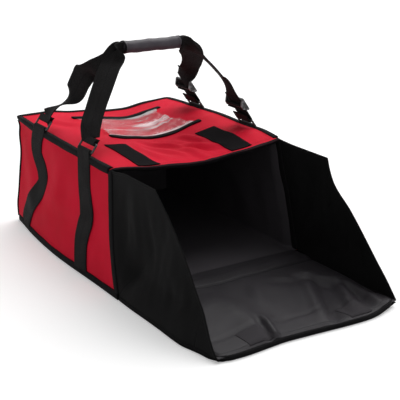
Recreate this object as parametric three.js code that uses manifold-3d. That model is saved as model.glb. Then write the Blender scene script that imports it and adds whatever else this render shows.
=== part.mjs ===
// A soft insulated carrier for boxed pizzas. A padded box has a slanted mouth, a flap that opens onto
// the floor as a scoop between two fabric gussets, and a handle of two straps in one grip.
// Millimetres. X runs across the mouth, -Y points out of it, and +Z is up.
import * as THREE from "three";
import { mergeVertices } from "three/addons/utils/BufferGeometryUtils.js";
import Module from "manifold-3d";

const wasm = await Module();
wasm.setup();

// The padded box
const BODY_WIDTH = 400;
const BODY_DEPTH = 440; // of the top, from the mouth to the back
const BODY_HEIGHT = 240;
const MOUTH_LEAD = 68; // how far the foot of the mouth stands ahead of its top
const COVER = 1;
const FOAM = 10;
const LINING = 1;

// Bindings
const BINDING = 1.2;
const BINDING_REACH = 10; // how far each leg laps onto its panel

// Flap and lap
const FLAP_LENGTH = 297; // from the sill to the front edge, the lap included
const SEAM_FROM_SILL = 50; // the stitched seam that parts the sill pad from the flap pad
const SEAM_GAP = 3;
const FLAP_EDGE = 1.5;
const LAP_EDGE = 3;

// Gussets
const GUSSET = 1.5;
const GUSSET_REACH = 154; // how far the gusset's upper corner stands ahead of the mouth's top
const GUSSET_BELLY = 9; // how far the middle of a gusset panel swells outwards

// How the soft top hangs between its side edges
const TOP_SAG = 18; // of its middle line
const SAG_MARGIN = 35; // from a side edge to where the sag starts
const SAG_CUTS = 5; // folds of the hanging cloth on each side of the middle line

// Hook-and-loop fastening
const PATCH_WIDTH = 50;
const PATCH_LENGTH = 136;
const PATCH_SPREAD = 220; // between the two middle lines
const PATCH = 1.8;
const TAPE = 1.8;
const TAPE_INSET = 6;
const PATCH_SETBACK = 2; // from the mouth's binding

// Ticket window
const WINDOW_WIDTH = 216;
const WINDOW_LENGTH = 172;
const WINDOW_SHIFT = 20; // of its middle, to the right
const WINDOW_SETBACK = 200; // of the front strip's middle, from the mouth
const FILM = 0.5;
const FILM_BULGE = 9;
const STRIP_WIDTH = 9;
const STRIP = 1.2;
const FILM_STEPS = 12;

// Webbing, rings and slide adjusters
const WEBBING_WIDTH = 50;
const WEBBING = 2.5;
const FRONT_STRAP_Y = 110; // middle of the front side straps, from the mouth's top edge
const REAR_STRAP_Y = 310;
const RING_BAR = 4;
const RING_SLOT = 14; // height of the opening in a ring
const RING_SIDE_ROOM = 1; // between the webbing's edge and the ring
const RING_SLOT_CORNER = 1;
const OCTAGON_CUT = 1 - Math.SQRT1_2; // share of a square bar's side that makes it an octagon
const RING_RISE = 6.6; // of the lower bar's middle, above the top panel
const RING_TILT = THREE.MathUtils.degToRad(36);
const EYE_ROOM = 0.5; // between a bar and the webbing round it
const EYE_TURN = THREE.MathUtils.degToRad(300); // of a side strap round its ring
const EYE_STEPS = 15;
const EYE_SEGMENTS = 9;
const STRAP_LEAVE = 60; // how far a handle strap keeps its direction on leaving the ring
const STRAP_ARRIVE = 45; // and on reaching the grip
const STRAP_LEAN = 15; // how far it leans towards its own ring there
const STRAP_DIP = 4;
const STRAP_STEPS = 14;
const LEFT_DOUBLED_LEG = 42; // where the left strap ends are sewn back on themselves
const SLIDER_FROM_RING = 42; // middle bar of the adjuster, above the ring's upper bar
const SLIDER_HALF_LENGTH = 15;
const SLIDER_BAR = 4;
const SLIDER_RAIL = 3.5;

// Grip
const GRIP_LENGTH = 138;
const GRIP_RADIUS = 12.5;
const GRIP_BORE = 10.6;
const GRIP_HEIGHT = 424; // of its axis, above the floor
const GRIP_SETBACK = 188; // of its axis, from the mouth's top edge
const GRIP_OVERLAP = 1; // step of the wrap where it closes over itself
const OVERLAP_FROM = 1.2 * Math.PI;
const OVERLAP_TO = 1.5 * Math.PI;
const GRIP_EDGE = 0.8; // rounding of the wrap's ends
const GRIP_STEPS = 30;
const BUNDLE_WIDTH = 8; // each strap, folded up inside the grip
const BUNDLE_THICKNESS = 12;

// Clearances
const GAP = 0.3;
const FOLD_GAP = 0.3; // half of the parting between two panels at a crease
const FOLD_GRID = 0.25; // the folds of the sagging top lie on it, so that their strips meet exactly

// Worked out from the sizes above
const WALL = COVER + FOAM + LINING;
const HALF = BODY_WIDTH / 2;
const SAG_STEP = FOLD_GRID * Math.round((HALF - SAG_MARGIN) / SAG_CUTS / FOLD_GRID);
const MOUTH_ANGLE = Math.atan2(BODY_HEIGHT, MOUTH_LEAD);
const LAP_STACK = PATCH + TAPE + GAP;
const MOUTH_STACK = BINDING + 2 * GUSSET + 3 * GAP; // what the closed flap leaves room for
const HINGE_Y = mouthY(WALL) - MOUTH_STACK / Math.sin(MOUTH_ANGLE);
const LAP_Y = HINGE_Y - (BODY_HEIGHT + LAP_STACK - WALL) / Math.sin(MOUTH_ANGLE);
const FLAP_FRONT_Y = HINGE_Y - FLAP_LENGTH;
const EYE_BORE = RING_BAR / 2 + EYE_ROOM;
const EYE_RADIUS = EYE_BORE + WEBBING;
const RING_X = HALF + WEBBING - EYE_RADIUS;
const RING_Z = BODY_HEIGHT + RING_RISE;
const RING_SPAN = RING_SLOT + RING_BAR; // between the middles of its two long bars
const RING_HALF_WIDTH = WEBBING_WIDTH / 2 + RING_SIDE_ROOM;

const FINISHES = {
  redNylon: { color: new THREE.Color(0.86, 0.11, 0.18), roughness: 0.75, metalness: 0 },
  blackNylon: { color: new THREE.Color(0.02, 0.02, 0.02), roughness: 0.7, metalness: 0 },
  foam: { color: new THREE.Color(0.75, 0.75, 0.74), roughness: 0.95, metalness: 0 },
  lining: { color: new THREE.Color(0.05, 0.045, 0.05), roughness: 0.45, metalness: 0 },
  binding: { color: new THREE.Color(0.015, 0.015, 0.018), roughness: 0.8, metalness: 0 },
  webbing: { color: new THREE.Color(0.015, 0.015, 0.015), roughness: 0.85, metalness: 0 },
  hookAndLoop: { color: new THREE.Color(0.01, 0.01, 0.01), roughness: 1, metalness: 0 },
  film: { color: new THREE.Color(0.9, 0.9, 0.92), roughness: 0.1, metalness: 0 },
  metal: { color: new THREE.Color(0.08, 0.08, 0.08), roughness: 0.35, metalness: 1 },
  leatherette: { color: new THREE.Color(0.05, 0.045, 0.055), roughness: 0.5, metalness: 0 },
};

const bag = new THREE.Group();
bag.name = "pizza_delivery_bag";

// The Y of the mouth's slanted plane at a height.
function mouthY(z) {
  return -MOUTH_LEAD * (1 - z / BODY_HEIGHT);
}

function addMesh(name, geometry, finish, parent = bag) {
  const mesh = new THREE.Mesh(geometry, new THREE.MeshStandardMaterial(FINISHES[finish]));
  mesh.name = name;
  parent.add(mesh);
  return mesh;
}

// A closed geometry as a solid that can be joined and cut.
function toSolid(geometry) {
  const bare = geometry.clone();
  bare.deleteAttribute("normal");
  bare.deleteAttribute("uv");
  const merged = mergeVertices(bare, 1e-4);
  return new wasm.Manifold(
    new wasm.Mesh({
      numProp: 3,
      vertProperties: merged.attributes.position.array,
      triVerts: new Uint32Array(merged.index.array),
    }),
  );
}

function toGeometry(solid) {
  const mesh = solid.getMesh();
  const geometry = new THREE.BufferGeometry();
  geometry.setAttribute("position", new THREE.BufferAttribute(mesh.vertProperties, mesh.numProp));
  geometry.setIndex(new THREE.BufferAttribute(mesh.triVerts, 1));
  geometry.computeVertexNormals();
  return geometry;
}

function join(first, ...others) {
  return toGeometry(others.reduce((whole, next) => whole.add(toSolid(next)), toSolid(first)));
}

function cut(first, ...others) {
  return toGeometry(others.reduce((whole, next) => whole.subtract(toSolid(next)), toSolid(first)));
}

function outline(points) {
  return new THREE.Shape(points.map(([a, b]) => new THREE.Vector2(a, b)));
}

// An outline in Y and Z, extruded along X.
function alongX(shape, x0, x1, options = {}) {
  const geometry = new THREE.ExtrudeGeometry(shape, {
    depth: x1 - x0,
    bevelEnabled: false,
    ...options,
  });
  const axes = new THREE.Matrix4().makeBasis(
    new THREE.Vector3(0, 1, 0),
    new THREE.Vector3(0, 0, 1),
    new THREE.Vector3(1, 0, 0),
  );
  return geometry.applyMatrix4(axes).translate(x0, 0, 0);
}

// An outline in X and Z, extruded along Y.
function alongY(shape, y0, y1, options = {}) {
  const geometry = new THREE.ExtrudeGeometry(shape, {
    depth: y1 - y0,
    bevelEnabled: false,
    ...options,
  });
  const axes = new THREE.Matrix4().makeBasis(
    new THREE.Vector3(1, 0, 0),
    new THREE.Vector3(0, 0, 1),
    new THREE.Vector3(0, -1, 0),
  );
  return geometry.applyMatrix4(axes).translate(0, y1, 0);
}

function block(x0, x1, y0, y1, z0, z1) {
  return new THREE.BoxGeometry(x1 - x0, y1 - y0, z1 - z0).translate(
    (x0 + x1) / 2,
    (y0 + y1) / 2,
    (z0 + z1) / 2,
  );
}

// A block whose front follows the mouth's plane, moved by frontOffset.
function slantedBlock(x0, x1, z0, z1, backY, frontOffset = 0) {
  const profile = outline([
    [mouthY(z0) + frontOffset, z0],
    [backY, z0],
    [backY, z1],
    [mouthY(z1) + frontOffset, z1],
  ]);
  return alongX(profile, x0, x1);
}

function bodyBlock() {
  return slantedBlock(-HALF, HALF, 0, BODY_HEIGHT, BODY_DEPTH);
}

// How far the soft top hangs at a place across the bag, straight between its folds.
function sagAt(x) {
  const place = Math.min(Math.abs(x) / SAG_STEP, SAG_CUTS);
  const before = Math.floor(place);
  const after = Math.min(before + 1, SAG_CUTS);
  const bell = (step) => (TOP_SAG * (1 + Math.cos((Math.PI * step) / SAG_CUTS))) / 2;
  return THREE.MathUtils.lerp(bell(before), bell(after), place - before);
}

// A geometry of the box, cut into strips at the folds, each strip hung where the top sags.
function sagged(geometry) {
  const whole = toSolid(geometry);
  const far = BODY_WIDTH + BODY_DEPTH;
  const strips = [];
  for (let fold = -SAG_CUTS - 1; fold <= SAG_CUTS; fold += 1) {
    const x0 = fold < -SAG_CUTS ? -far : fold * SAG_STEP;
    const x1 = fold === SAG_CUTS ? far : (fold + 1) * SAG_STEP;
    const strip = whole.intersect(toSolid(block(x0, x1, -far, far, -far, far)));
    if (strip.isEmpty()) continue;
    const hung = toGeometry(strip);
    const places = hung.attributes.position;
    for (let corner = 0; corner < places.count; corner += 1) {
      const hang = places.getZ(corner) > BODY_HEIGHT / 2 ? sagAt(places.getX(corner)) : 0;
      places.setZ(corner, places.getZ(corner) - hang);
    }
    strips.push(hung);
  }
  return join(...strips);
}

// One layer of the box's five padded panels, as nested shells.
function addLayer(layer, inset, thickness, finishOf) {
  const inner = inset + thickness;
  const back = BODY_DEPTH - inset;
  const top = BODY_HEIGHT - inset;
  const side = HALF - inset;
  const innerSide = HALF - inner;
  const low = inner;
  const high = BODY_HEIGHT - inner;
  addMesh(`base_${layer}`, slantedBlock(-side, side, inset, inner, back), finishOf("base"));
  addMesh(`top_${layer}`, sagged(slantedBlock(-side, side, high, top, back)), finishOf("top"));
  addMesh(`left_${layer}`, slantedBlock(-side, -innerSide, low, high, back), finishOf("left"));
  addMesh(`right_${layer}`, slantedBlock(innerSide, side, low, high, back), finishOf("right"));
  addMesh(
    `back_${layer}`,
    sagged(block(-innerSide, innerSide, BODY_DEPTH - inner, back, low, high)),
    finishOf("back"),
  );
}

function addPaddedPanels() {
  addLayer("cover", 0, COVER, (panel) => (panel === "base" ? "blackNylon" : "redNylon"));
  addLayer("foam", COVER, FOAM, () => "foam");
  addLayer("lining", COVER + FOAM, LINING, () => "lining");
}

// The binding tapes lap round the edges of the panels.
function addBindings() {
  const grown = HALF + BINDING;
  const grownBack = BODY_DEPTH + BINDING;
  const afterMouth = BINDING_REACH + GAP;
  const belowTop = BODY_HEIGHT - BINDING_REACH;
  const overTop = BODY_HEIGHT + BINDING;
  const open = HALF - BINDING_REACH;

  const topRim = slantedBlock(-grown, grown, belowTop, overTop, grownBack, afterMouth);
  const topFace = block(-open, open, -BODY_DEPTH, BODY_DEPTH - BINDING_REACH, belowTop, 2 * overTop);
  addMesh("top_binding", sagged(cut(topRim, bodyBlock(), topFace)), "binding");

  const baseRim = slantedBlock(-grown, grown, GAP, BINDING_REACH, grownBack, afterMouth);
  addMesh("base_binding", cut(baseRim, bodyBlock()), "binding");

  for (const [name, side] of [["left", -1], ["right", 1]]) {
    const [x0, x1] = [side * open, side * grown].sort((a, b) => a - b);
    const corner = block(
      x0,
      x1,
      BODY_DEPTH - BINDING_REACH,
      grownBack,
      BINDING_REACH + GAP,
      belowTop - GAP,
    );
    addMesh(`${name}_rear_binding`, cut(corner, bodyBlock()), "binding");
  }

  const foot = WALL + GAP;
  const band = alongX(
    outline([
      [mouthY(foot) - BINDING, foot],
      [mouthY(foot) + BINDING_REACH, foot],
      [mouthY(overTop) + BINDING_REACH, overTop],
      [mouthY(overTop) - BINDING, overTop],
    ]),
    -grown,
    grown,
  );
  const inside = HALF - WALL;
  const opening = block(-inside, inside, -BODY_DEPTH, BODY_DEPTH, 0, BODY_HEIGHT - WALL);
  addMesh("mouth_binding", sagged(cut(band, bodyBlock(), opening)), "binding");
}

// A clear sheet held along its front and rear edges, bowed up between them.
function addTicketWindow() {
  const frontY = WINDOW_SETBACK;
  const rearY = WINDOW_SETBACK + WINDOW_LENGTH;
  const halfStrip = STRIP_WIDTH / 2;
  const bowStart = frontY + halfStrip;
  const bowLength = rearY - halfStrip - bowStart;
  const bow = (step) => FILM_BULGE * Math.sin((Math.PI * step) / FILM_STEPS);
  const upper = [[frontY - halfStrip, BODY_HEIGHT + FILM]];
  const lower = [[frontY - halfStrip, BODY_HEIGHT]];
  for (let step = 0; step <= FILM_STEPS; step += 1) {
    const y = bowStart + (bowLength * step) / FILM_STEPS;
    upper.push([y, BODY_HEIGHT + FILM + bow(step)]);
    lower.push([y, BODY_HEIGHT + bow(step)]);
  }
  upper.push([rearY + halfStrip, BODY_HEIGHT + FILM]);
  lower.push([rearY + halfStrip, BODY_HEIGHT]);
  const left = WINDOW_SHIFT - WINDOW_WIDTH / 2;
  const right = WINDOW_SHIFT + WINDOW_WIDTH / 2;
  const sheet = outline([...lower, ...upper.reverse()]);
  addMesh("window_film", sagged(alongX(sheet, left, right)), "film");

  const stripFoot = BODY_HEIGHT + FILM;
  for (const [name, y] of [["front", frontY], ["rear", rearY]]) {
    const strip = outline([
      [y - halfStrip, stripFoot],
      [y + halfStrip, stripFoot],
      [y + halfStrip - STRIP, stripFoot + STRIP],
      [y - halfStrip + STRIP, stripFoot + STRIP],
    ]);
    // The strip's sides lean in, so that it stays clear of the bowed film.
    addMesh(`window_${name}_strip`, sagged(alongX(strip, left - GAP, right + GAP)), "binding");
  }
}

function addLoopPatches() {
  const y0 = BINDING_REACH + PATCH_SETBACK;
  for (const [name, side] of [["left", -1], ["right", 1]]) {
    const x = (side * PATCH_SPREAD) / 2;
    const patch = block(
      x - PATCH_WIDTH / 2,
      x + PATCH_WIDTH / 2,
      y0,
      y0 + PATCH_LENGTH,
      BODY_HEIGHT,
      BODY_HEIGHT + PATCH,
    );
    addMesh(`${name}_loop_patch`, sagged(patch), "hookAndLoop");
  }
}

// A strap sewn up the side, turned round the ring's lower bar at its top.
function sideStrap(side, y) {
  const face = HALF;
  const proud = HALF + BINDING;
  const outer = HALF + WEBBING;
  const shape = new THREE.Shape();
  shape.moveTo(side * face, BINDING_REACH + GAP);
  shape.lineTo(side * outer, BINDING_REACH + GAP);
  shape.lineTo(side * outer, RING_Z);
  for (let step = 1; step <= EYE_STEPS; step += 1) {
    const angle = (EYE_TURN * step) / EYE_STEPS;
    shape.lineTo(
      side * (RING_X + EYE_RADIUS * Math.cos(angle)),
      RING_Z + EYE_RADIUS * Math.sin(angle),
    );
  }
  shape.lineTo(side * proud, BODY_HEIGHT + BINDING);
  shape.lineTo(side * proud, BODY_HEIGHT - BINDING_REACH - GAP);
  shape.lineTo(side * face, BODY_HEIGHT - BINDING_REACH - GAP);
  const bore = new THREE.Path();
  bore.absarc(side * RING_X, RING_Z, EYE_BORE, 0, 2 * Math.PI, side > 0);
  shape.holes.push(bore);
  return alongY(shape, y - WEBBING_WIDTH / 2, y + WEBBING_WIDTH / 2, { curveSegments: EYE_SEGMENTS });
}

// A rectangular ring. Its lower bar lies on the group's origin, and its slot opens upwards.
function ringGeometry() {
  const bevel = RING_BAR * OCTAGON_CUT;
  const half = RING_HALF_WIDTH;
  const low = RING_BAR / 2;
  const high = RING_SPAN - RING_BAR / 2;
  const cornerRound = RING_BAR;
  const outer = roundedRectangle(
    -half - RING_BAR,
    -RING_BAR / 2,
    half + RING_BAR,
    RING_SPAN + RING_BAR / 2,
    cornerRound,
  );
  outer.holes.push(roundedRectangle(-half, low, half, high, RING_SLOT_CORNER));
  const depth = RING_BAR - 2 * bevel;
  return alongX(outer, -depth / 2, depth / 2, {
    bevelEnabled: true,
    bevelThickness: bevel,
    bevelSize: bevel,
    bevelOffset: -bevel,
    bevelSegments: 1,
    curveSegments: 4,
  });
}

function roundedRectangle(x0, y0, x1, y1, radius) {
  const shape = new THREE.Shape();
  shape.moveTo(x0 + radius, y0);
  shape.lineTo(x1 - radius, y0);
  shape.absarc(x1 - radius, y0 + radius, radius, -Math.PI / 2, 0, false);
  shape.lineTo(x1, y1 - radius);
  shape.absarc(x1 - radius, y1 - radius, radius, 0, Math.PI / 2, false);
  shape.lineTo(x0 + radius, y1);
  shape.absarc(x0 + radius, y1 - radius, radius, Math.PI / 2, Math.PI, false);
  shape.lineTo(x0, y0 + radius);
  shape.absarc(x0 + radius, y0 + radius, radius, Math.PI, 1.5 * Math.PI, false);
  return shape;
}

// The group that a ring hangs in, tipped towards the grip.
function ringGroup(side, y) {
  const group = new THREE.Group();
  group.position.set(side * RING_X, y, RING_Z);
  group.rotation.y = -side * RING_TILT;
  bag.add(group);
  return group;
}

// A slide adjuster, in the ring's frame: two outer bars over the strap and a middle bar under it.
function sliderGeometry() {
  const middle = RING_SPAN + SLIDER_FROM_RING;
  const halfBar = SLIDER_BAR / 2;
  const overStrap = EYE_RADIUS + GAP;
  const underStrap = EYE_BORE - GAP - EYE_RADIUS;
  const railInner = RING_HALF_WIDTH;
  const railOuter = RING_HALF_WIDTH + SLIDER_RAIL;
  const low = underStrap - halfBar;
  const high = overStrap + SLIDER_BAR;
  const parts = [];
  for (const side of [-1, 1]) {
    const [y0, y1] = [side * railInner, side * railOuter].sort((a, b) => a - b);
    const rail = new THREE.Shape();
    rail.moveTo(high, middle - SLIDER_HALF_LENGTH);
    rail.lineTo(high, middle + SLIDER_HALF_LENGTH);
    rail.lineTo(overStrap, middle + SLIDER_HALF_LENGTH);
    rail.lineTo(low, middle + SLIDER_BAR);
    rail.lineTo(low, middle - SLIDER_BAR);
    rail.lineTo(overStrap, middle - SLIDER_HALF_LENGTH);
    parts.push(alongY(rail, y0, y1));
  }
  for (const side of [-1, 1]) {
    const end = middle + side * (SLIDER_HALF_LENGTH - halfBar);
    parts.push(
      block(overStrap, high, -railOuter, railOuter, end - halfBar, end + halfBar),
    );
  }
  const bar = new THREE.Shape();
  bar.absarc(underStrap, middle, halfBar, 0, 2 * Math.PI, false);
  parts.push(alongY(bar, -railOuter, railOuter, { curveSegments: 4 }));
  return join(...parts);
}

// A point in a ring's tipped frame: up along the ring, out from its plane.
function inRingFrame(side, y, up, out) {
  return new THREE.Vector3(
    side * (RING_X - up * Math.sin(RING_TILT) + out * Math.cos(RING_TILT)),
    y,
    RING_Z + up * Math.cos(RING_TILT) + out * Math.sin(RING_TILT),
  );
}

// A flat strap through stations of centre, half width along Y, and thickness.
function strapLoft(stations) {
  const positions = [];
  stations.forEach((station, index) => {
    const before = stations[Math.max(index - 1, 0)].centre;
    const after = stations[Math.min(index + 1, stations.length - 1)].centre;
    const run = new THREE.Vector3().subVectors(after, before);
    const normal = new THREE.Vector3(-run.z, 0, run.x).setLength(station.thickness / 2);
    for (const [across, through] of [[-1, -1], [1, -1], [1, 1], [-1, 1]]) {
      const corner = station.centre.clone().addScaledVector(normal, through);
      corner.y += across * station.halfWidth;
      positions.push(corner.x, corner.y, corner.z);
    }
  });
  const faces = [0, 3, 2, 0, 2, 1];
  for (let ring = 0; ring < stations.length - 1; ring += 1) {
    for (let corner = 0; corner < 4; corner += 1) {
      const a = 4 * ring + corner;
      const b = 4 * ring + ((corner + 1) % 4);
      faces.push(a, b, b + 4, a, b + 4, a + 4);
    }
  }
  const last = 4 * (stations.length - 1);
  faces.push(last, last + 1, last + 2, last, last + 2, last + 3);
  const geometry = new THREE.BufferGeometry();
  geometry.setAttribute("position", new THREE.Float32BufferAttribute(positions, 3));
  geometry.setIndex(faces);
  return geometry;
}

// The free run of a strap, from where it leaves its ring or adjuster to the end of the grip.
function freeRun(side, y, start, bundleY) {
  const leave = inRingFrame(side, y, start.up + STRAP_LEAVE, start.out);
  const grip = new THREE.Vector3((side * GRIP_LENGTH) / 2, bundleY, GRIP_HEIGHT);
  const lean = Math.sign(y - GRIP_SETBACK);
  const arrive = grip.clone().add(new THREE.Vector3(side * STRAP_ARRIVE, lean * STRAP_LEAN, -STRAP_DIP));
  const curve = new THREE.CubicBezierCurve3(
    inRingFrame(side, y, start.up, start.out),
    leave,
    arrive,
    grip,
  );
  return curve.getPoints(STRAP_STEPS).map((centre) => {
    const room = Math.abs(centre.y - GRIP_SETBACK) - GAP / 2;
    const halfWidth = Math.min(WEBBING_WIDTH / 2, room);
    const gathered = (BUNDLE_WIDTH * BUNDLE_THICKNESS) / (2 * halfWidth);
    return { centre, halfWidth, thickness: Math.max(WEBBING, gathered) };
  });
}

// Webbing turned round a bar, in a ring's frame.
function webbingEye(side, y, up, out) {
  const shape = new THREE.Shape();
  const centre = inRingFrame(side, y, up, out);
  shape.absarc(centre.x, centre.z, EYE_RADIUS, 0, 2 * Math.PI, false);
  const bore = new THREE.Path();
  bore.absarc(centre.x, centre.z, EYE_BORE, 0, 2 * Math.PI, true);
  shape.holes.push(bore);
  const half = WEBBING_WIDTH / 2;
  return alongY(shape, y - half, y + half, { curveSegments: EYE_SEGMENTS });
}

// A straight leg of webbing in a ring's frame.
function webbingLeg(side, y, fromUp, toUp, fromOut, toOut) {
  const corners = [
    inRingFrame(side, y, fromUp, fromOut),
    inRingFrame(side, y, toUp, fromOut),
    inRingFrame(side, y, toUp, toOut),
    inRingFrame(side, y, fromUp, toOut),
  ];
  const half = WEBBING_WIDTH / 2;
  return alongY(outline(corners.map((corner) => [corner.x, corner.z])), y - half, y + half);
}

// A handle strap: sewn round the left ring, folded up through the grip, and back through the
// right ring to the middle bar of its adjuster.
function handleStrap(y) {
  const bundleY = GRIP_SETBACK + (Math.sign(y - GRIP_SETBACK) * (BUNDLE_WIDTH + GAP)) / 2;
  const legFoot = RING_SPAN + EYE_BORE + WEBBING / 2;
  const leftStart = { up: legFoot, out: WEBBING / 2 };
  const sliderMiddle = RING_SPAN + SLIDER_FROM_RING;
  const rightOut = EYE_BORE + WEBBING / 2;
  const rightStart = { up: sliderMiddle + SLIDER_HALF_LENGTH, out: rightOut };
  const straightFoot = {
    centre: inRingFrame(1, y, RING_SPAN, rightOut),
    halfWidth: WEBBING_WIDTH / 2,
    thickness: WEBBING,
  };
  const stations = [
    ...freeRun(-1, y, leftStart, bundleY),
    ...freeRun(1, y, rightStart, bundleY).reverse(),
    straightFoot,
  ];
  return join(
    strapLoft(stations),
    webbingEye(-1, y, RING_SPAN, 0),
    webbingLeg(-1, y, legFoot, RING_SPAN + LEFT_DOUBLED_LEG, -WEBBING, WEBBING / 2),
    webbingEye(1, y, RING_SPAN, 0),
    webbingLeg(1, y, RING_SPAN, sliderMiddle - rightOut, -EYE_RADIUS, -EYE_BORE),
    webbingEye(1, y, sliderMiddle, EYE_BORE - GAP - EYE_RADIUS),
  );
}

// The leatherette wrap, closed over itself along its underside.
function gripWrap() {
  const shape = new THREE.Shape();
  for (let step = 0; step < GRIP_STEPS; step += 1) {
    const angle = (2 * Math.PI * step) / GRIP_STEPS;
    const folded = angle > OVERLAP_FROM && angle < OVERLAP_TO;
    const radius = GRIP_RADIUS + (folded ? GRIP_OVERLAP : 0);
    const y = GRIP_SETBACK + radius * Math.cos(angle);
    const z = GRIP_HEIGHT + radius * Math.sin(angle);
    if (step === 0) shape.moveTo(y, z);
    else shape.lineTo(y, z);
  }
  const bore = new THREE.Path();
  bore.absarc(GRIP_SETBACK, GRIP_HEIGHT, GRIP_BORE, 0, 2 * Math.PI, true);
  shape.holes.push(bore);
  return alongX(shape, -GRIP_LENGTH / 2 + GRIP_EDGE, GRIP_LENGTH / 2 - GRIP_EDGE, {
    bevelEnabled: true,
    bevelThickness: GRIP_EDGE,
    bevelSize: GRIP_EDGE,
    bevelOffset: -GRIP_EDGE,
    bevelSegments: 2,
    curveSegments: GRIP_STEPS / 2,
  });
}

function addCarryingHandle() {
  const rows = [["front", FRONT_STRAP_Y], ["rear", REAR_STRAP_Y]];
  for (const [row, y] of rows) {
    for (const [name, side] of [["left", -1], ["right", 1]]) {
      addMesh(`${name}_${row}_side_strap`, sideStrap(side, y), "webbing");
      const group = ringGroup(side, y);
      addMesh(`${name}_${row}_ring`, ringGeometry(), "metal", group);
      if (side === 1) addMesh(`${row}_slider`, sliderGeometry(), "metal", group);
    }
    addMesh(`${row}_handle_strap`, handleStrap(y), "webbing");
  }
  addMesh("grip_wrap", gripWrap(), "leatherette");
}

// The three layers of the open flap or of its lap, between two distances from the mouth.
function addFlapLayers(name, y0, y1) {
  const half = HALF - FLAP_EDGE;
  addMesh(`${name}_cover`, block(-half, half, y0, y1, 0, COVER), "blackNylon");
  addMesh(`${name}_lining`, block(-half, half, y0, y1, WALL - LINING, WALL), "lining");
}

function pad(y0, y1) {
  const half = HALF - FLAP_EDGE;
  return block(-half, half, y0, y1, COVER, COVER + FOAM);
}

function addFlap() {
  const parting = FOLD_GAP;
  const seamY = HINGE_Y - SEAM_FROM_SILL;
  const lapFront = FLAP_FRONT_Y + LAP_EDGE;
  addFlapLayers("flap", LAP_Y + parting, HINGE_Y);
  addFlapLayers("lap", lapFront, LAP_Y - parting);
  addMesh("sill_pad", pad(seamY + SEAM_GAP / 2, HINGE_Y), "foam");
  addMesh("flap_pad", pad(LAP_Y + parting, seamY - SEAM_GAP / 2), "foam");
  addMesh("lap_pad", pad(lapFront, LAP_Y - parting), "foam");

  const half = HALF - FLAP_EDGE;
  addMesh("left_flap_binding", block(-HALF, -half, LAP_Y + parting, HINGE_Y, GAP, WALL), "binding");
  addMesh("right_flap_binding", block(half, HALF, LAP_Y + parting, HINGE_Y, GAP, WALL), "binding");
  const lapRim = block(-HALF, HALF, FLAP_FRONT_Y, LAP_Y - parting, GAP, WALL);
  const lapInside = block(-half, half, lapFront, LAP_Y, 0, 2 * WALL);
  addMesh("lap_binding", cut(lapRim, lapInside), "binding");

  for (const [name, side] of [["left", -1], ["right", 1]]) {
    const x = (side * PATCH_SPREAD) / 2;
    const tape = block(
      x - PATCH_WIDTH / 2,
      x + PATCH_WIDTH / 2,
      lapFront + TAPE_INSET,
      LAP_Y - TAPE_INSET,
      WALL,
      WALL + TAPE,
    );
    addMesh(`${name}_hook_tape`, tape, "hookAndLoop");
  }
}

// Where the line from p towards d meets the line through q and r, in Y and Z.
function meet(p, d, q, r) {
  const along = new THREE.Vector2().subVectors(r, q);
  const between = new THREE.Vector2().subVectors(q, p);
  const share = between.cross(along) / d.cross(along);
  return p.clone().addScaledVector(d, share);
}

// A fabric panel between corners in Y and Z, swelled outwards from its edges to its middle.
function swelledPanel(corners, side, belly) {
  const round = THREE.ShapeUtils.isClockWise(corners) ? [...corners].reverse() : corners;
  const count = round.length;
  const middle = new THREE.Vector2();
  for (const corner of round) middle.addScaledVector(corner, 1 / count);
  const positions = [];
  for (const x of [HALF - GUSSET, HALF]) {
    for (const corner of round) positions.push(side * x, corner.x, corner.y);
    positions.push(side * (x + belly), middle.x, middle.y);
  }
  const faces = [];
  const outer = count + 1;
  for (let corner = 0; corner < count; corner += 1) {
    const next = (corner + 1) % count;
    faces.push([next, corner, count]);
    faces.push([outer + corner, outer + next, outer + count]);
    faces.push([corner, next, outer + next], [corner, outer + next, outer + corner]);
  }
  const geometry = new THREE.BufferGeometry();
  geometry.setAttribute("position", new THREE.Float32BufferAttribute(positions, 3));
  geometry.setIndex(faces.flatMap((face) => (side > 0 ? face : face.reverse())));
  return toGeometry(toSolid(geometry));
}

// Each gusset is creased from the sill corner, midway between the mouth's edge and the flap's, so
// that its halves fold flat. The tip beyond the lap's crease folds with the lap.
function addGussets() {
  const foot = WALL + 2 * FOLD_GAP;
  const head = BODY_HEIGHT - COVER;
  const ahead = BINDING + GAP + FOLD_GAP;
  const sill = new THREE.Vector2(mouthY(foot) - ahead, foot);
  const mouthTop = new THREE.Vector2(mouthY(head) - ahead, head);
  const upperCorner = new THREE.Vector2(-GUSSET_REACH, head);
  const frontCorner = new THREE.Vector2(FLAP_FRONT_Y + LAP_EDGE, foot);
  const mouthway = new THREE.Vector2().subVectors(mouthTop, sill).normalize();
  const crease = mouthway.clone().add(new THREE.Vector2(-1, 0)).normalize();
  const creaseEnd = meet(sill, crease, upperCorner, frontCorner);
  const apart = new THREE.Vector2(crease.y, -crease.x).multiplyScalar(FOLD_GAP);
  const atLap = (y) => meet(new THREE.Vector2(y, 0), new THREE.Vector2(0, 1), upperCorner, frontCorner);

  const upper = [
    mouthTop,
    upperCorner,
    creaseEnd.clone().add(apart),
    sill.clone().add(apart),
  ];
  const lower = [
    sill.clone().sub(apart),
    creaseEnd.clone().sub(apart),
    atLap(LAP_Y + FOLD_GAP),
    new THREE.Vector2(LAP_Y + FOLD_GAP, foot),
  ];
  const tip = [
    atLap(LAP_Y - FOLD_GAP),
    frontCorner,
    new THREE.Vector2(LAP_Y - FOLD_GAP, foot),
  ];
  const panels = [
    ["upper_gusset", upper, GUSSET_BELLY],
    ["lower_gusset", lower, GUSSET_BELLY],
    ["gusset_tip", tip, 0],
  ];
  for (const [name, side] of [["left", -1], ["right", 1]]) {
    for (const [panel, corners, belly] of panels) {
      addMesh(`${name}_${panel}`, swelledPanel(corners, side, belly), "blackNylon");
    }
  }
}

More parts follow.
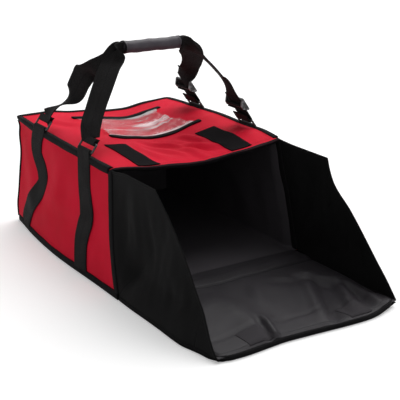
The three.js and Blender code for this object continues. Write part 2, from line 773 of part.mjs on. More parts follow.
addPaddedPanels();
addBindings();
addTicketWindow();
addLoopPatches();
addCarryingHandle();
addFlap();
addGussets();

// The origin is the middle of the floor under the whole bag.
bag.position.y = -(BODY_DEPTH + BINDING + FLAP_FRONT_Y) / 2;

export default bag;
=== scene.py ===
"""The looks of a soft insulated carrier for boxed pizzas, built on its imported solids.

Metres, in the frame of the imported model: X runs across the mouth, -Y points out of it, +Z is up.
"""

import logging
import math
from dataclasses import dataclass
from enum import Enum
from typing import Callable, Sequence

import bmesh
import bpy
import numpy as np
from mathutils import Matrix, Vector


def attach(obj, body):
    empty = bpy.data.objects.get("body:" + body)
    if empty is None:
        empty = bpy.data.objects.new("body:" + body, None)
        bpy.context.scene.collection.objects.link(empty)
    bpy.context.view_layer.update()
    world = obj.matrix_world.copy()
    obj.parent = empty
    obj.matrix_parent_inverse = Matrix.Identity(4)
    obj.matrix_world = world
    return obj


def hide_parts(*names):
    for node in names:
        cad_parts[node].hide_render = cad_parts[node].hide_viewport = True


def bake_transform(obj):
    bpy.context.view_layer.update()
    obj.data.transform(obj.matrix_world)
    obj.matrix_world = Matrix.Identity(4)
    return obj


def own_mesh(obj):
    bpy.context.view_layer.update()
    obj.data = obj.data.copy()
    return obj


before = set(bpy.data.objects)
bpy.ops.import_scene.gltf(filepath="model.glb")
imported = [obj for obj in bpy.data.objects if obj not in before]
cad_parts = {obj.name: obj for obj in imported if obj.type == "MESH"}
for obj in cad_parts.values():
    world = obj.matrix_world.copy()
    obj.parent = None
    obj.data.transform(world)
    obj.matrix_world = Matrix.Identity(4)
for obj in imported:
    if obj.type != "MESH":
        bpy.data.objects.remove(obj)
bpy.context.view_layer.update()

LOG = logging.getLogger("pizza_carrier")
UP = (0.0, 0.0, 1.0)
ALONG_BAG = (0.0, 1.0, 0.0)
TO_FRONT = (0.0, -1.0, 0.0)
LOOP_TAIL = (0.12, -0.99, 0.0)

Array = np.ndarray
Placer = Callable[[Array, Array], Array]
Triple = tuple[float, float, float]
Pair = tuple[float, float]
Pairs = tuple[Pair, ...]
Cells = tuple[int, int]
Object = bpy.types.Object
Node = bpy.types.Node
Tree = bpy.types.NodeTree
Socket = bpy.types.NodeSocket
Mesh = bmesh.types.BMesh


class Labelled(Enum):
    """A place on the bag that the names of pieces tell."""

    @property
    def label(self) -> str:
        """The place's name as piece names write it."""
        return self.name.lower()


class Side(Labelled):
    """A side of the bag, with the sign of its X."""

    LEFT = -1
    RIGHT = 1


class Row(Labelled):
    """A row of straps, with the Y of its middle line."""

    FRONT = 0.07285
    REAR = 0.27285


# Smooth curves and fields


def eased(value: Array, low: float, high: float) -> Array:
    """Give a smooth step, which leaves 0 at the low value and reaches 1 at the high one."""
    share = np.clip((value - low) / (high - low), 0.0, 1.0)
    return share * share * (3.0 - 2.0 * share)


def hump(value: Array, centre: Array | float, reach: Array | float) -> Array:
    """Give a smooth hump, which is 1 at its centre and 0 from its reach on."""
    share = np.clip(np.abs(value - centre) / reach, 0.0, 1.0)
    return 0.5 + 0.5 * np.cos(np.pi * share)


def squared(angle: Array, sideways: float, upright: float) -> tuple[Array, Array]:
    """Give a rounded box section of half size one; smaller powers square its ends and its faces."""
    cos, sin = np.cos(angle), np.sin(angle)
    return np.sign(cos) * np.abs(cos) ** sideways, np.sign(sin) * np.abs(sin) ** upright


def unit(vectors: Array) -> Array:
    """Give vectors a length of one."""
    return vectors / np.maximum(np.linalg.norm(vectors, axis=-1, keepdims=True), 1e-12)


def points_of(x: Array, y: Array, z: Array) -> Array:
    """Join coordinates, of which some may be single numbers, into rows of points."""
    return np.stack(np.broadcast_arrays(x, y, z), axis=-1).astype(float)


@dataclass(frozen=True)
class Curve:
    """A smooth curve through named stops."""

    stops: tuple[float, ...]
    heights: tuple[float, ...]

    def at(self, value: Array) -> Array:
        """Give the curve's height at each value."""
        return self.read(np.asarray(value, float), np.asarray(self.stops), np.asarray(self.heights))

    @staticmethod
    def read(value: Array, stops: Array, heights: Array) -> Array:
        """Read a curve.

        Args:
            value: Where to read it.
            stops: The places of its stops, rising.
            heights: Its height at each stop.

        Returns:
            The height at each value.
        """
        slopes = np.gradient(heights, stops)
        index = np.clip(np.searchsorted(stops, value) - 1, 0, len(stops) - 2)
        span = stops[index + 1] - stops[index]
        t = np.clip((value - stops[index]) / span, 0.0, 1.0)
        start = (1 + 2 * t) * (1 - t) ** 2 * heights[index] + t * (1 - t) ** 2 * span * slopes[index]
        end = t * t * (3 - 2 * t) * heights[index + 1] + t * t * (t - 1) * span * slopes[index + 1]
        return start + end


@dataclass(frozen=True)
class Ripples:
    """A field of soft folds, summed from waves whose headings scatter round one."""

    seed: int
    shortest: float
    longest: float
    heading: float = 0.0
    spread: float = 90.0
    count: int = 16

    def height(self, a: Array, b: Array) -> Array:
        """Give the field's height.

        Args:
            a: First coordinate on the cloth.
            b: Second coordinate on the cloth.

        Returns:
            Heights that stay mostly between -1 and 1.
        """
        rng = np.random.default_rng(self.seed)
        total = np.zeros_like(a)
        power = 0.0
        for _ in range(self.count):
            length = rng.uniform(self.shortest, self.longest)
            angle = math.radians(self.heading + rng.uniform(-self.spread, self.spread))
            phase = rng.uniform(0.0, 2.0 * math.pi)
            across = b * math.cos(angle) - a * math.sin(angle)
            total += length * np.sin(2.0 * np.pi * across / length + phase)
            power += length * length
        return total / math.sqrt(power)


@dataclass(frozen=True)
class Crease:
    """A pulled fold between two points of a panel, a ridge with a furrow on its left."""

    start: Pair
    end: Pair
    reach: float
    height: float
    furrow: float = 0.7

    def lift(self, a: Array, b: Array) -> Array:
        """Give how far the fold lifts the cloth.

        Args:
            a: First coordinate on the panel.
            b: Second one.

        Returns:
            The lift.
        """
        run = (self.end[0] - self.start[0], self.end[1] - self.start[1])
        length = math.hypot(*run)
        along = ((a - self.start[0]) * run[0] + (b - self.start[1]) * run[1]) / length**2
        away = ((a - self.start[0]) * run[1] - (b - self.start[1]) * run[0]) / length
        ends = eased(along, -0.2, 0.3) * (1.0 - eased(along, 0.7, 1.2))
        ridge = np.exp(-((away / self.reach) ** 2))
        furrow = np.exp(-(((away - 1.7 * self.reach) / self.reach) ** 2))
        return self.height * ends * (ridge - self.furrow * furrow)


@dataclass(frozen=True)
class Path:
    """A line through corners, read by shares of its length."""

    corners: Array

    def reached(self) -> Array:
        """Give the length reached at each corner."""
        gaps = np.linalg.norm(np.diff(self.corners, axis=0), axis=1)
        return np.concatenate([[0.0], np.cumsum(gaps)])

    def length(self) -> float:
        """Give the line's length."""
        return float(self.reached()[-1])

    def read(self, share: Array, table: Array | None = None) -> Array:
        """Read the line, or a table that has one row for each corner.

        Args:
            share: Shares of the line's length.
            table: The rows to read instead of the corners.

        Returns:
            The rows at each share.
        """
        rows = self.corners if table is None else table
        reached = self.reached()
        where = share * reached[-1]
        return np.stack([np.interp(where, reached, column) for column in rows.T], axis=1)


@dataclass(frozen=True)
class Bulge:
    """A rounded bulge of a panel, or a dent where its height is negative."""

    height: float
    middle: Pair
    reach: Pair

    def lift(self, a: Array, b: Array) -> Array:
        """Give how far it lifts the cloth at two coordinates on the panel."""
        return self.height * hump(a, self.middle[0], self.reach[0]) * hump(b, self.middle[1], self.reach[1])


def hoop(half: float, foot: float, head: float, radius: float, steps: int = 8) -> tuple[Array, Array]:
    """Trace one side, a rounded corner, the head, a second corner and the other side.

    Args:
        half: Half the hoop's width.
        foot: Where its two sides end.
        head: Where its head lies, beyond or before the feet.
        radius: The radius of its corners.
        steps: How many points a corner has.

    Returns:
        The hoop's points in its plane, and its outward directions there.
    """
    way = math.copysign(1.0, head - foot)
    turn = np.linspace(0.0, 0.5 * np.pi, steps)
    out = np.stack([-np.cos(turn), way * np.sin(turn)], axis=1)
    left = out * radius + (radius - half, head - way * radius)
    mirror = (-1.0, 1.0)
    corners = np.concatenate([[(-half, foot)], left, left[::-1] * mirror, [(half, foot)]])
    outward = np.concatenate([[(-1.0, 0.0)], out, out[::-1] * mirror, [(1.0, 0.0)]])
    return corners, outward


# Building blocks of mesh


def finished(mesh: Mesh, name: str) -> Object:
    """Turn a bmesh into a smooth scene object at the origin.

    Args:
        mesh: The mesh, which is freed.
        name: The piece's name.

    Returns:
        The new object.
    """
    data = bpy.data.meshes.new(name)
    for face in mesh.faces:
        face.smooth = True
    mesh.to_mesh(data)
    mesh.free()
    piece = bpy.data.objects.new(name, data)
    bpy.context.scene.collection.objects.link(piece)
    return piece


def shaped_grid(place: Placer, cells: Cells, size: Pair) -> Mesh:
    """Lay a grid over a surface, with its map in metres.

    Args:
        place: Gives the surface's points from two shares between 0 and 1.
        cells: How many cells the grid has each way.
        size: The cloth's flat size each way, for its map.

    Returns:
        The shaped mesh.
    """
    mesh = bmesh.new()
    layer = mesh.loops.layers.uv.new("UVMap")
    bmesh.ops.create_grid(mesh, x_segments=cells[0], y_segments=cells[1], size=0.5, calc_uvs=True)
    flat = np.array([vert.co for vert in mesh.verts]) + 0.5
    for vert, point in zip(mesh.verts, place(flat[:, 0], flat[:, 1])):
        vert.co = point
    for face in mesh.faces:
        for loop in face.loops:
            loop[layer].uv.x *= size[0]
            loop[layer].uv.y *= size[1]
    return mesh


def panel(name: str, place: Placer, cells: Cells, size: Pair, thickness: float = 0.0) -> Object:
    """Build an open panel of cloth.

    Args:
        name: The piece's name.
        place: Gives its points from two shares.
        cells: How many cells it has each way.
        size: Its flat size each way.
        thickness: How thick it becomes under its face.

    Returns:
        The piece.
    """
    piece = finished(shaped_grid(place, cells, size), name)
    if thickness:
        thicken(piece, thickness)
    return piece


def rolled(name: str, place: Placer, cells: Cells, size: Pair, capped: bool = True) -> Object:
    """Roll a grid into a closed piece.

    Args:
        name: The piece's name.
        place: Gives the points, with the first share running round the section.
        cells: How many cells run round and along.
        size: The length round and along, for the map.
        capped: Whether its two ends are closed by faces.

    Returns:
        The piece, facing outwards.
    """
    mesh = shaped_grid(place, cells, size)
    bmesh.ops.remove_doubles(mesh, verts=mesh.verts, dist=1e-6)
    if capped:
        bmesh.ops.holes_fill(mesh, edges=[edge for edge in mesh.edges if edge.is_boundary], sides=0)
    bmesh.ops.recalc_face_normals(mesh, faces=mesh.faces)
    return finished(mesh, name)


def thicken(piece: Object, thickness: float, offset: float = -1.0) -> None:
    """Give a sheet its thickness.

    Args:
        piece: The sheet.
        thickness: How thick it becomes.
        offset: -1 grows it under its face, 0 on both sides.
    """
    modifier = piece.modifiers.new("thickness", "SOLIDIFY")
    modifier.thickness = thickness
    modifier.offset = offset
    modifier.use_even_offset = False


@dataclass(frozen=True)
class Tape:
    """A folded tape: a puffy section swept along an edge, then settled on the soft bag."""

    name: str
    section: Pairs
    path: Path
    first: Array
    second: Array
    settle: Callable[[Array], Array]
    cells: Cells
    puff: float = 0.05
    flange: Array | None = None

    def _place(self, around: Array, along: Array) -> Array:
        """Place the tape's points."""
        flat = Path(np.array(self.section + (self.section[0],))).read(around)
        where = along * self.path.length()
        wave = 1.0 + self.puff * np.sin(where * 61.0) * np.sin(where * 23.0 + 1.0)
        reach = flat[:, 0] * wave
        if self.flange is not None:
            reach = np.where(reach < 0.0, reach * self.path.read(along, self.flange)[:, 0], reach)
        out = self.path.read(along, self.first) * reach[:, None]
        rise = self.path.read(along, self.second) * (flat[:, 1] * wave)[:, None]
        return self.settle(self.path.read(along) + out + rise)

    def build(self) -> Object:
        """Build the tape."""
        return rolled(self.name, self._place, self.cells, (0.030, self.path.length()))


@dataclass(frozen=True)
class Station:
    """A place on a strap: its middle, the direction of its width, and its section there."""

    centre: Triple
    across: Triple
    half_width: float = 0.0245
    thickness: float = 0.0025


@dataclass(frozen=True)
class Webbing:
    """A strap of woven webbing, swept through its stations."""

    name: str
    stations: tuple[Station, ...]
    steps: int = 110
    round_cells: int = 24
    look: float = 0.004

    def _table(self, field: str) -> Array:
        """Give one field of the stations, a row for each."""
        return np.array([getattr(station, field) for station in self.stations], float)

    def _read(self, field: str, share: Array) -> Array:
        """Read one field of the stations at shares of the strap's length."""
        reached = Path(self._table("centre")).reached()
        columns = self._table(field).reshape(len(reached), -1).T
        return np.stack([Curve.read(share, reached / reached[-1], column) for column in columns], axis=1)

    def _place(self, around: Array, along: Array) -> Array:
        """Place the section's points."""
        ahead = self._read("centre", np.clip(along + self.look, 0, 1))
        behind = self._read("centre", np.clip(along - self.look, 0, 1))
        run = unit(ahead - behind)
        width = self._read("across", along)
        width = unit(width - run * np.sum(width * run, axis=1, keepdims=True))
        sideways, upright = squared(2.0 * np.pi * around, 0.9, 0.22)
        reach = self._read("half_width", along) * sideways[:, None]
        lift = 0.5 * self._read("thickness", along) * upright[:, None]
        return self._read("centre", along) + width * reach + np.cross(run, width) * lift

    def build(self) -> Object:
        """Build the strap as one closed piece."""
        length = Path(self._table("centre")).length()
        widest = self._table("half_width").max()
        return rolled(self.name, self._place, (self.round_cells, self.steps), (4.0 * widest, length))


@dataclass(frozen=True)
class Stitches:
    """Rows of sewing thread, a few dozen faces to each stitch."""

    name: str
    length: float = 0.0030
    thread: float = 0.00042

    def build(self, rows: Sequence[tuple[Array, Triple | Array]]) -> Object:
        """Sew the rows as one piece.

        Args:
            rows: For each row, its points and the cloth's normal, or its normals there.

        Returns:
            The piece.
        """
        mesh = bmesh.new()
        for points, normals in rows:
            path = Path(points)
            table = np.broadcast_to(normals, points.shape)
            count = max(2, int(path.length() / (1.3 * self.length)))
            share = (np.arange(count) + 0.5) / count
            ahead = path.read(np.clip(share + 0.5 * self.length / path.length(), 0, 1))
            for spot, up, front in zip(path.read(share), unit(path.read(share, table)), ahead):
                self._stitch(mesh, Vector(spot), Vector(up), Vector(front))
        return finished(mesh, self.name)

    def _stitch(self, mesh: Mesh, spot: Vector, up: Vector, front: Vector) -> None:
        """Sew one stitch.

        Args:
            mesh: The mesh to add it to.
            spot: Its middle.
            up: The cloth's normal there.
            front: A point ahead on its row.
        """
        run = (front - spot).normalized()
        side = up.cross(run).normalized()
        rise = run.cross(side)
        turn = Matrix((run, side, rise)).transposed().to_4x4()
        size = Matrix.Diagonal((0.5 * self.length, self.thread, 0.7 * self.thread, 1.0))
        move = Matrix.Translation(spot + 0.3 * self.thread * rise)
        bmesh.ops.create_icosphere(mesh, subdivisions=1, radius=1.0, matrix=move @ turn @ size)


# The shapes that the cloth takes


@dataclass(frozen=True)
class BoxForm:
    """The padded box at rest, and how its panels slump, bulge and dent.

    Curves read the depth behind the mouth's top edge, or the height, in metres.
    """

    half_width: float = 0.200
    height: float = 0.240
    mouth_top: float = -0.03715
    mouth_lead: float = 0.068
    back: float = 0.40285
    wall: float = 0.012
    rim_wall: float = 0.005
    corner: float = 0.007
    left_edge: Curve = Curve(
        (-0.01, 0.05, 0.15, 0.29, 0.42, 0.45),
        (-0.005, -0.006, -0.004, -0.001, 0.002, 0.002),
    )
    right_edge: Curve = Curve(
        (-0.01, 0.05, 0.11, 0.21, 0.31, 0.38, 0.45),
        (0.001, 0.0060, 0.0045, 0.0065, 0.0035, 0.002, -0.002),
    )
    sag: Curve = Curve((-0.01, 0.10, 0.20, 0.38, 0.45), (0.0185, 0.0195, 0.0220, 0.0195, 0.012))
    sag_middle: Curve = Curve((-0.01, 0.10, 0.22, 0.45), (-0.004, 0.010, 0.024, 0.045))
    sag_reach: Curve = Curve((-0.01, 0.12, 0.45), (0.172, 0.165, 0.152))
    flare: Curve = Curve((-0.07, 0.0, 0.23, 0.35, 0.42, 0.45), (1.0, 1.0, 1.0, 0.54, 0.12, 0.0))
    rear_tuck: Curve = Curve(
        (0.0, 0.04, 0.075, 0.12, 0.17, 0.20, 0.225, 0.24),
        (0.0, -0.001, 0.004, 0.0085, 0.0110, 0.008, 0.009, 0.003),
    )
    tuck_band: Pair = (0.34, 0.435)
    mouth_dips: tuple[Triple, ...] = ((0.011, 0.128, 0.100), (0.005, -0.110, 0.080))
    mouth_band: float = 0.10
    left_flare: float = 0.0248
    right_flare: float = 0.0095
    left_bulges: tuple[Bulge, ...] = (
        Bulge(0.0030, (0.19, 0.118), (0.17, 0.035)),
        Bulge(-0.0115, (0.300, 0.150), (0.10, 0.085)),
        Bulge(-0.0030, (0.110, 0.160), (0.045, 0.080)),
    )
    right_bulges: tuple[Bulge, ...] = (
        Bulge(-0.0070, (0.170, 0.140), (0.11, 0.085)),
        Bulge(0.0030, (0.360, 0.110), (0.10, 0.070)),
    )
    back_swell: float = 0.0065
    back_dent: Triple = (0.0040, 0.205, 0.035)
    top_calm: float = 0.05
    top_ripple: float = 0.0016
    wall_ripple: float = 0.0017
    back_ripple: float = 0.0016
    top_band: Pair = (0.07, 0.230)
    side_band: Pair = (0.10, 0.186)
    back_band: Pair = (0.07, 0.012)
    top_soft: Ripples = Ripples(seed=11, shortest=0.05, longest=0.16, heading=60, spread=40)
    wall_soft: Ripples = Ripples(seed=5, shortest=0.05, longest=0.14, heading=88, spread=26)
    back_soft: Ripples = Ripples(seed=8, shortest=0.06, longest=0.16, heading=80, spread=40)
    creases: tuple[Crease, ...] = (
        Crease((-0.030, 0.135), (0.085, 0.020), 0.010, 0.0052),
        Crease((0.010, 0.120), (0.060, 0.010), 0.009, -0.0044),
        Crease((-0.045, 0.110), (0.000, 0.015), 0.010, 0.0028),
        Crease((0.060, 0.130), (0.080, 0.060), 0.008, 0.0046),
        Crease((-0.062, 0.120), (-0.052, 0.000), 0.012, 0.0026),
        Crease((0.020, 0.060), (0.030, -0.030), 0.010, 0.0026),
        Crease((-0.170, 0.110), (-0.060, 0.180), 0.014, 0.0024),
        Crease((0.130, 0.300), (0.040, 0.390), 0.022, 0.0016),
        Crease((0.170, 0.190), (0.080, 0.150), 0.018, 0.0016),
        Crease((-0.120, 0.260), (-0.180, 0.330), 0.014, -0.0024),
    )

    def mouth_y(self, z: Array) -> Array:
        """Give the Y of the slanted mouth at a height."""
        return self.mouth_top - self.mouth_lead * (1.0 - z / self.height)

    def top_lift(self, x: Array, y: Array) -> Array:
        """Give how far the top panel rises or sags.

        Args:
            x: Places across the bag.
            y: Places along it.

        Returns:
            The lift at each place, negative where it sags.
        """
        depth = y - self.mouth_top
        left, right = self.left_edge.at(depth), self.right_edge.at(depth)
        edge = left + (right - left) * (x + self.half_width) / (2.0 * self.half_width)
        dips = sum(drop * hump(x, middle, reach) for drop, middle, reach in self.mouth_dips)
        edge = edge - dips * (1.0 - eased(depth, 0.0, self.mouth_band))
        bell = self.sag.at(depth) * hump(x, self.sag_middle.at(depth), self.sag_reach.at(depth))
        inside = eased(self.half_width - np.abs(x), 0.0, self.top_calm)
        pulled = sum(crease.lift(x, y) for crease in self.creases)
        return edge - bell + inside * (self.top_ripple * self.top_soft.height(x, y) + pulled)

    def wall_push(self, side: Array, y: Array, z: Array) -> Array:
        """Give how far a side panel stands out.

        Args:
            side: -1 on the left, 1 on the right.
            y: Places along the bag.
            z: Heights.

        Returns:
            The push at each place, negative where it dents.
        """
        depth = y - self.mouth_top
        low = np.clip(1.0 - z / self.height, 0.0, 1.0)
        flare = self.flare.at(depth) * np.sin(0.5 * np.pi * low) ** 1.2
        left = self.left_flare * flare + sum(bulge.lift(depth, z) for bulge in self.left_bulges)
        left -= eased(depth, *self.tuck_band) * self.rear_tuck.at(z)
        right = self.right_flare * flare + sum(bulge.lift(depth, z) for bulge in self.right_bulges)
        middle = hump(z, 0.5 * self.height, 0.5 * self.height)
        soft = self.wall_ripple * middle * self.wall_soft.height(depth + 0.13 * side, z)
        return np.where(side < 0, left, right) + soft

    def back_push(self, x: Array, z: Array) -> Array:
        """Give how far the back panel stands out.

        Args:
            x: Places across the bag.
            z: Heights.

        Returns:
            The push at each place.
        """
        round_x = np.clip(1.0 - (x / self.half_width) ** 2, 0.0, 1.0)
        round_z = hump(z, 0.5 * self.height, 0.5 * self.height)
        soft = self.back_ripple * round_z * self.back_soft.height(x, z)
        dent, middle, reach = self.back_dent
        return round_x * (self.back_swell * round_z + soft) - dent * hump(z, middle, reach)

    def slumped(self, points: Array) -> Array:
        """Move points of the tidy box to where the soft one has them.

        Args:
            points: Points on or near the tidy box.

        Returns:
            The same points on the soft box.
        """
        x, y, z = points.T
        side = np.where(x < 0, -1.0, 1.0)
        lift = self.top_lift(x, y) * eased(z, *self.top_band)
        push = self.wall_push(side, y, z) * eased(np.abs(x), *self.side_band)
        near, far = self.back_band
        bulge = self.back_push(x, z) * eased(y, self.back - near, self.back - far)
        return np.stack([x + side * push, y + bulge, z + lift], axis=1)


@dataclass(frozen=True)
class FlapForm:
    """The open flap on the floor, and how its pad and edges move.

    Curves read the distance out from the hinge, or the place across, in metres.
    """

    half_width: float = 0.1985
    hinge: float = -0.10705
    seam: float = -0.15705
    lap: float = -0.34808
    front: float = -0.40105
    top: float = 0.012
    left_push: Curve = Curve(
        (0.0, 0.05, 0.15, 0.19, 0.214, 0.232, 0.252, 0.273, 0.30),
        (0.0250, 0.0256, 0.0250, 0.0258, 0.0245, 0.0198, 0.0150, 0.0120, 0.0080),
    )
    right_push: Curve = Curve((0.0, 0.10, 0.20, 0.30), (0.009, 0.0065, 0.0045, 0.0035))
    nose: Curve = Curve(
        (-0.20, -0.142, -0.102, -0.061, -0.042, -0.004, 0.035, 0.075, 0.118, 0.143, 0.173, 0.205),
        (
            -0.0030, -0.0057, -0.0030, -0.0007, -0.0018, -0.0048,
            -0.0080, -0.0112, -0.0122, -0.0094, -0.0016, 0.0036,
        ),
    )
    nose_band: Pair = (0.16, 0.297)
    tip_lift: float = 0.005
    pad_humps: tuple[Triple, ...] = (
        (0.0022, 0.024, 0.027),
        (-0.0044, hinge - seam, 0.0065),
        (0.0016, 0.145, 0.09),
        (-0.0012, hinge - lap, 0.012),
    )
    sill_lap: float = 0.0009
    edge_draw: float = 0.0045
    ripple: float = 0.0010
    soft: Ripples = Ripples(seed=21, shortest=0.035, longest=0.12, heading=70, spread=50)
    creases: tuple[Crease, ...] = (
        Crease((-0.108, -0.205), (-0.088, -0.385), 0.042, 0.0110, 0.0),
        Crease((-0.062, -0.330), (-0.086, -0.416), 0.0075, 0.0070),
        Crease((-0.190, -0.178), (-0.150, -0.188), 0.006, 0.0035),
        Crease((0.145, -0.240), (0.048, -0.400), 0.014, -0.0100),
        Crease((0.168, -0.270), (0.105, -0.385), 0.011, 0.0070),
        Crease((0.182, -0.275), (0.165, -0.390), 0.010, 0.0070),
        Crease((0.120, -0.190), (0.175, -0.290), 0.012, 0.0050),
        Crease((0.020, -0.200), (-0.030, -0.300), 0.016, 0.0022),
        Crease((0.060, -0.190), (0.150, -0.230), 0.014, 0.0026),
    )

    def shift(self, x: Array, out: Array) -> tuple[Array, Array, Array]:
        """Give how the soft flap's outline moves.

        Args:
            x: Places across the tidy flap.
            out: Distances out from the hinge.

        Returns:
            The moves along X, Y and Z.
        """
        push = np.where(x < 0, -self.left_push.at(out), self.right_push.at(out))
        push = push * eased(np.abs(x), 0.10, 0.19) * eased(out, -0.02, 0.0)
        reach = self.nose.at(x) * eased(out, *self.nose_band)
        lift = self.tip_lift * eased(x, 0.12, 0.20) * eased(out, 0.22, self.nose_band[1])
        return push, reach, lift

    def moved(self, points: Array) -> Array:
        """Move points of the tidy flap to where the soft one has them.

        Args:
            points: Points on or near the tidy flap.

        Returns:
            The same points on the soft flap.
        """
        x, y, z = points.T
        out = self.hinge - y
        push, reach, lift = self.shift(x, out)
        inside = eased(self.half_width - np.abs(x), 0.002, 0.035) * eased(y - self.front, -0.004, 0.010)
        folds = self.ripple * self.soft.height(x, y) + sum(crease.lift(x, y) for crease in self.creases)
        calm = inside * eased(out, 0.0, 0.03) * eased(z, 0.002, 0.011)
        return np.stack([x + push, y + reach, z + lift + calm * folds], axis=1)

    def pad_top(self, out: Array) -> Array:
        """Give the pad's height at distances out from the hinge."""
        lapped = self.sill_lap * (1.0 - eased(out, -0.003, 0.012))
        humps = sum(rise * hump(out, middle, reach) for rise, middle, reach in self.pad_humps)
        return self.top + lapped + humps

    def lining_z(self, x: Array, y: Array) -> Array:
        """Give the lining's height over the tidy flap, drawn down at its edges."""
        edge = eased(self.half_width - np.abs(x), 0.0, 0.012)
        tip = eased(y - self.front, -0.002, 0.014)
        return self.pad_top(self.hinge - y) - self.edge_draw * (1.0 - edge * tip)


BOX = BoxForm()
FLAP = FlapForm()


@dataclass(frozen=True)
class GussetForm:
    """One fabric gusset between the mouth and the flap.

    Curves read the share of the free edge, from its upper corner to its front one.
    """

    side: Side
    sill: Pair = (-0.10338, 0.0126)
    mouth_top: Pair = (-0.03923, 0.239)
    upper_corner: Pair = (-0.19115, 0.239)
    front_corner: Pair = (-0.40105, 0.0126)
    plane: float = 0.19925
    foot_z: float = 0.0070
    swell: float = 0.009
    draw_along: Pair = (0.733, -0.680)
    rim_band: float = 0.10
    lean_band: float = 0.16
    ripple: float = 0.0013
    left_draw: Curve = Curve(
        (0.0, 0.19, 0.50, 0.66, 0.85, 1.0),
        (-0.002, -0.0085, -0.0080, -0.0020, 0.0, 0.0),
    )
    right_draw: Curve = Curve(
        (0.0, 0.06, 0.15, 0.38, 0.68, 0.89, 1.0),
        (0.003, 0.008, 0.0100, 0.0045, 0.0015, -0.0005, 0.0),
    )
    right_lean: Curve = Curve(
        (0.0, 0.06, 0.15, 0.38, 0.68, 0.89, 1.0),
        (0.001, 0.003, 0.0070, 0.0030, 0.0005, 0.0, 0.0),
    )
    soft: Ripples = Ripples(seed=31, shortest=0.022, longest=0.08, heading=84, spread=18)

    def crease_end(self) -> Pair:
        """Give where the crease from the sill meets the free edge."""
        up = Vector((self.mouth_top[0] - self.sill[0], self.mouth_top[1] - self.sill[1])).normalized()
        way = (up + Vector((-1.0, 0.0))).normalized()
        run = Vector(self.front_corner) - Vector(self.upper_corner)
        between = Vector(self.upper_corner) - Vector(self.sill)
        share = (between.x * run.y - between.y * run.x) / (way.x * run.y - way.y * run.x)
        end = Vector(self.sill) + share * way
        return end.x, end.y

    def edge_z(self, y: Array) -> Array:
        """Give the tidy free edge's height above places on the flap."""
        stops = (self.front_corner, self.upper_corner)
        return np.interp(y, [stop[0] for stop in stops], [stop[1] for stop in stops])

    def panels(self) -> dict[str, Pairs]:
        """Give the corners of the upper panel, the lower panel and the tip."""
        crease = self.crease_end()
        above_lap = (FLAP.lap, float(self.edge_z(FLAP.lap)))
        on_lap = (FLAP.lap, self.sill[1])
        return {
            "upper_gusset": (self.sill, self.mouth_top, self.upper_corner, crease),
            "lower_gusset": (on_lap, self.sill, crease, above_lap),
            "gusset_tip": (self.front_corner, on_lap, above_lap, self.front_corner),
        }

    def _belly(self, y: Array, z: Array, below: Array) -> Array:
        """Give the outward swell of the two halves, flat at the mouth, the crease and the floor."""
        mouthward = math.atan2(self.mouth_top[1] - self.sill[1], self.sill[0] - self.mouth_top[0])
        turn = np.arctan2(z - self.sill[1], self.sill[0] - y)
        halves = np.abs(np.sin(2.0 * np.pi * np.clip(turn / mouthward, 0.0, 1.0)))
        reach = np.hypot(z - self.sill[1], self.sill[0] - y)
        return self.swell * halves**1.8 * eased(reach, 0.0, 0.10) * eased(below, 0.0, 0.07)

    def spread(self, y: Array, z: Array) -> Array:
        """Place points of the gusset's plane on its soft surface.

        Args:
            y: Places along the bag.
            z: Heights.

        Returns:
            The points.
        """
        sign = self.side.value
        length = self.front_corner[0] - self.upper_corner[0]
        share = np.clip((y - self.upper_corner[0]) / length, 0.0, 1.0)
        below = self.edge_z(y) - z
        slope = (self.mouth_top[0] - self.sill[0]) / (self.mouth_top[1] - self.sill[1])
        off_mouth = eased(self.sill[0] + (z - self.sill[1]) * slope - y, 0.0, 0.05)
        off_floor = eased(z, self.sill[1], 0.075)
        rim = (1.0 - eased(below, 0.0, self.rim_band)) * off_mouth
        push, reach, corner = FLAP.shift(np.full_like(y, sign * FLAP.half_width), FLAP.hinge - y)
        wall = BOX.wall_push(np.full_like(y, sign), y, z)
        left = self.side is Side.LEFT
        draw = (self.left_draw if left else self.right_draw).at(share) * rim
        lean = 0.0 if left else -self.right_lean.at(share) * (1.0 - eased(below, 0.0, self.lean_band))
        inside = off_mouth * off_floor * eased(below, 0.0, 0.05)
        folds = self.ripple * inside * self.soft.height(y, z)
        foot = np.abs(push) * (1.0 - off_floor)
        out = (1.0 - off_mouth) * wall + off_mouth * (foot + lean * off_floor) + folds
        out = out + off_mouth * self._belly(y, z, below)
        sink = (self.sill[1] - self.foot_z - corner) * (1.0 - eased(z, self.sill[1], 0.05))
        corner_lift = BOX.top_lift(np.full_like(y, sign * BOX.half_width), y)
        tied = corner_lift * eased(z, *BOX.top_band) * (1.0 - off_mouth)
        ahead = y + self.draw_along[0] * draw + reach * (1.0 - off_floor)
        high = z + self.draw_along[1] * draw - sink + tied
        return np.stack([sign * (self.plane + out), ahead, high], axis=1)


# Finishes


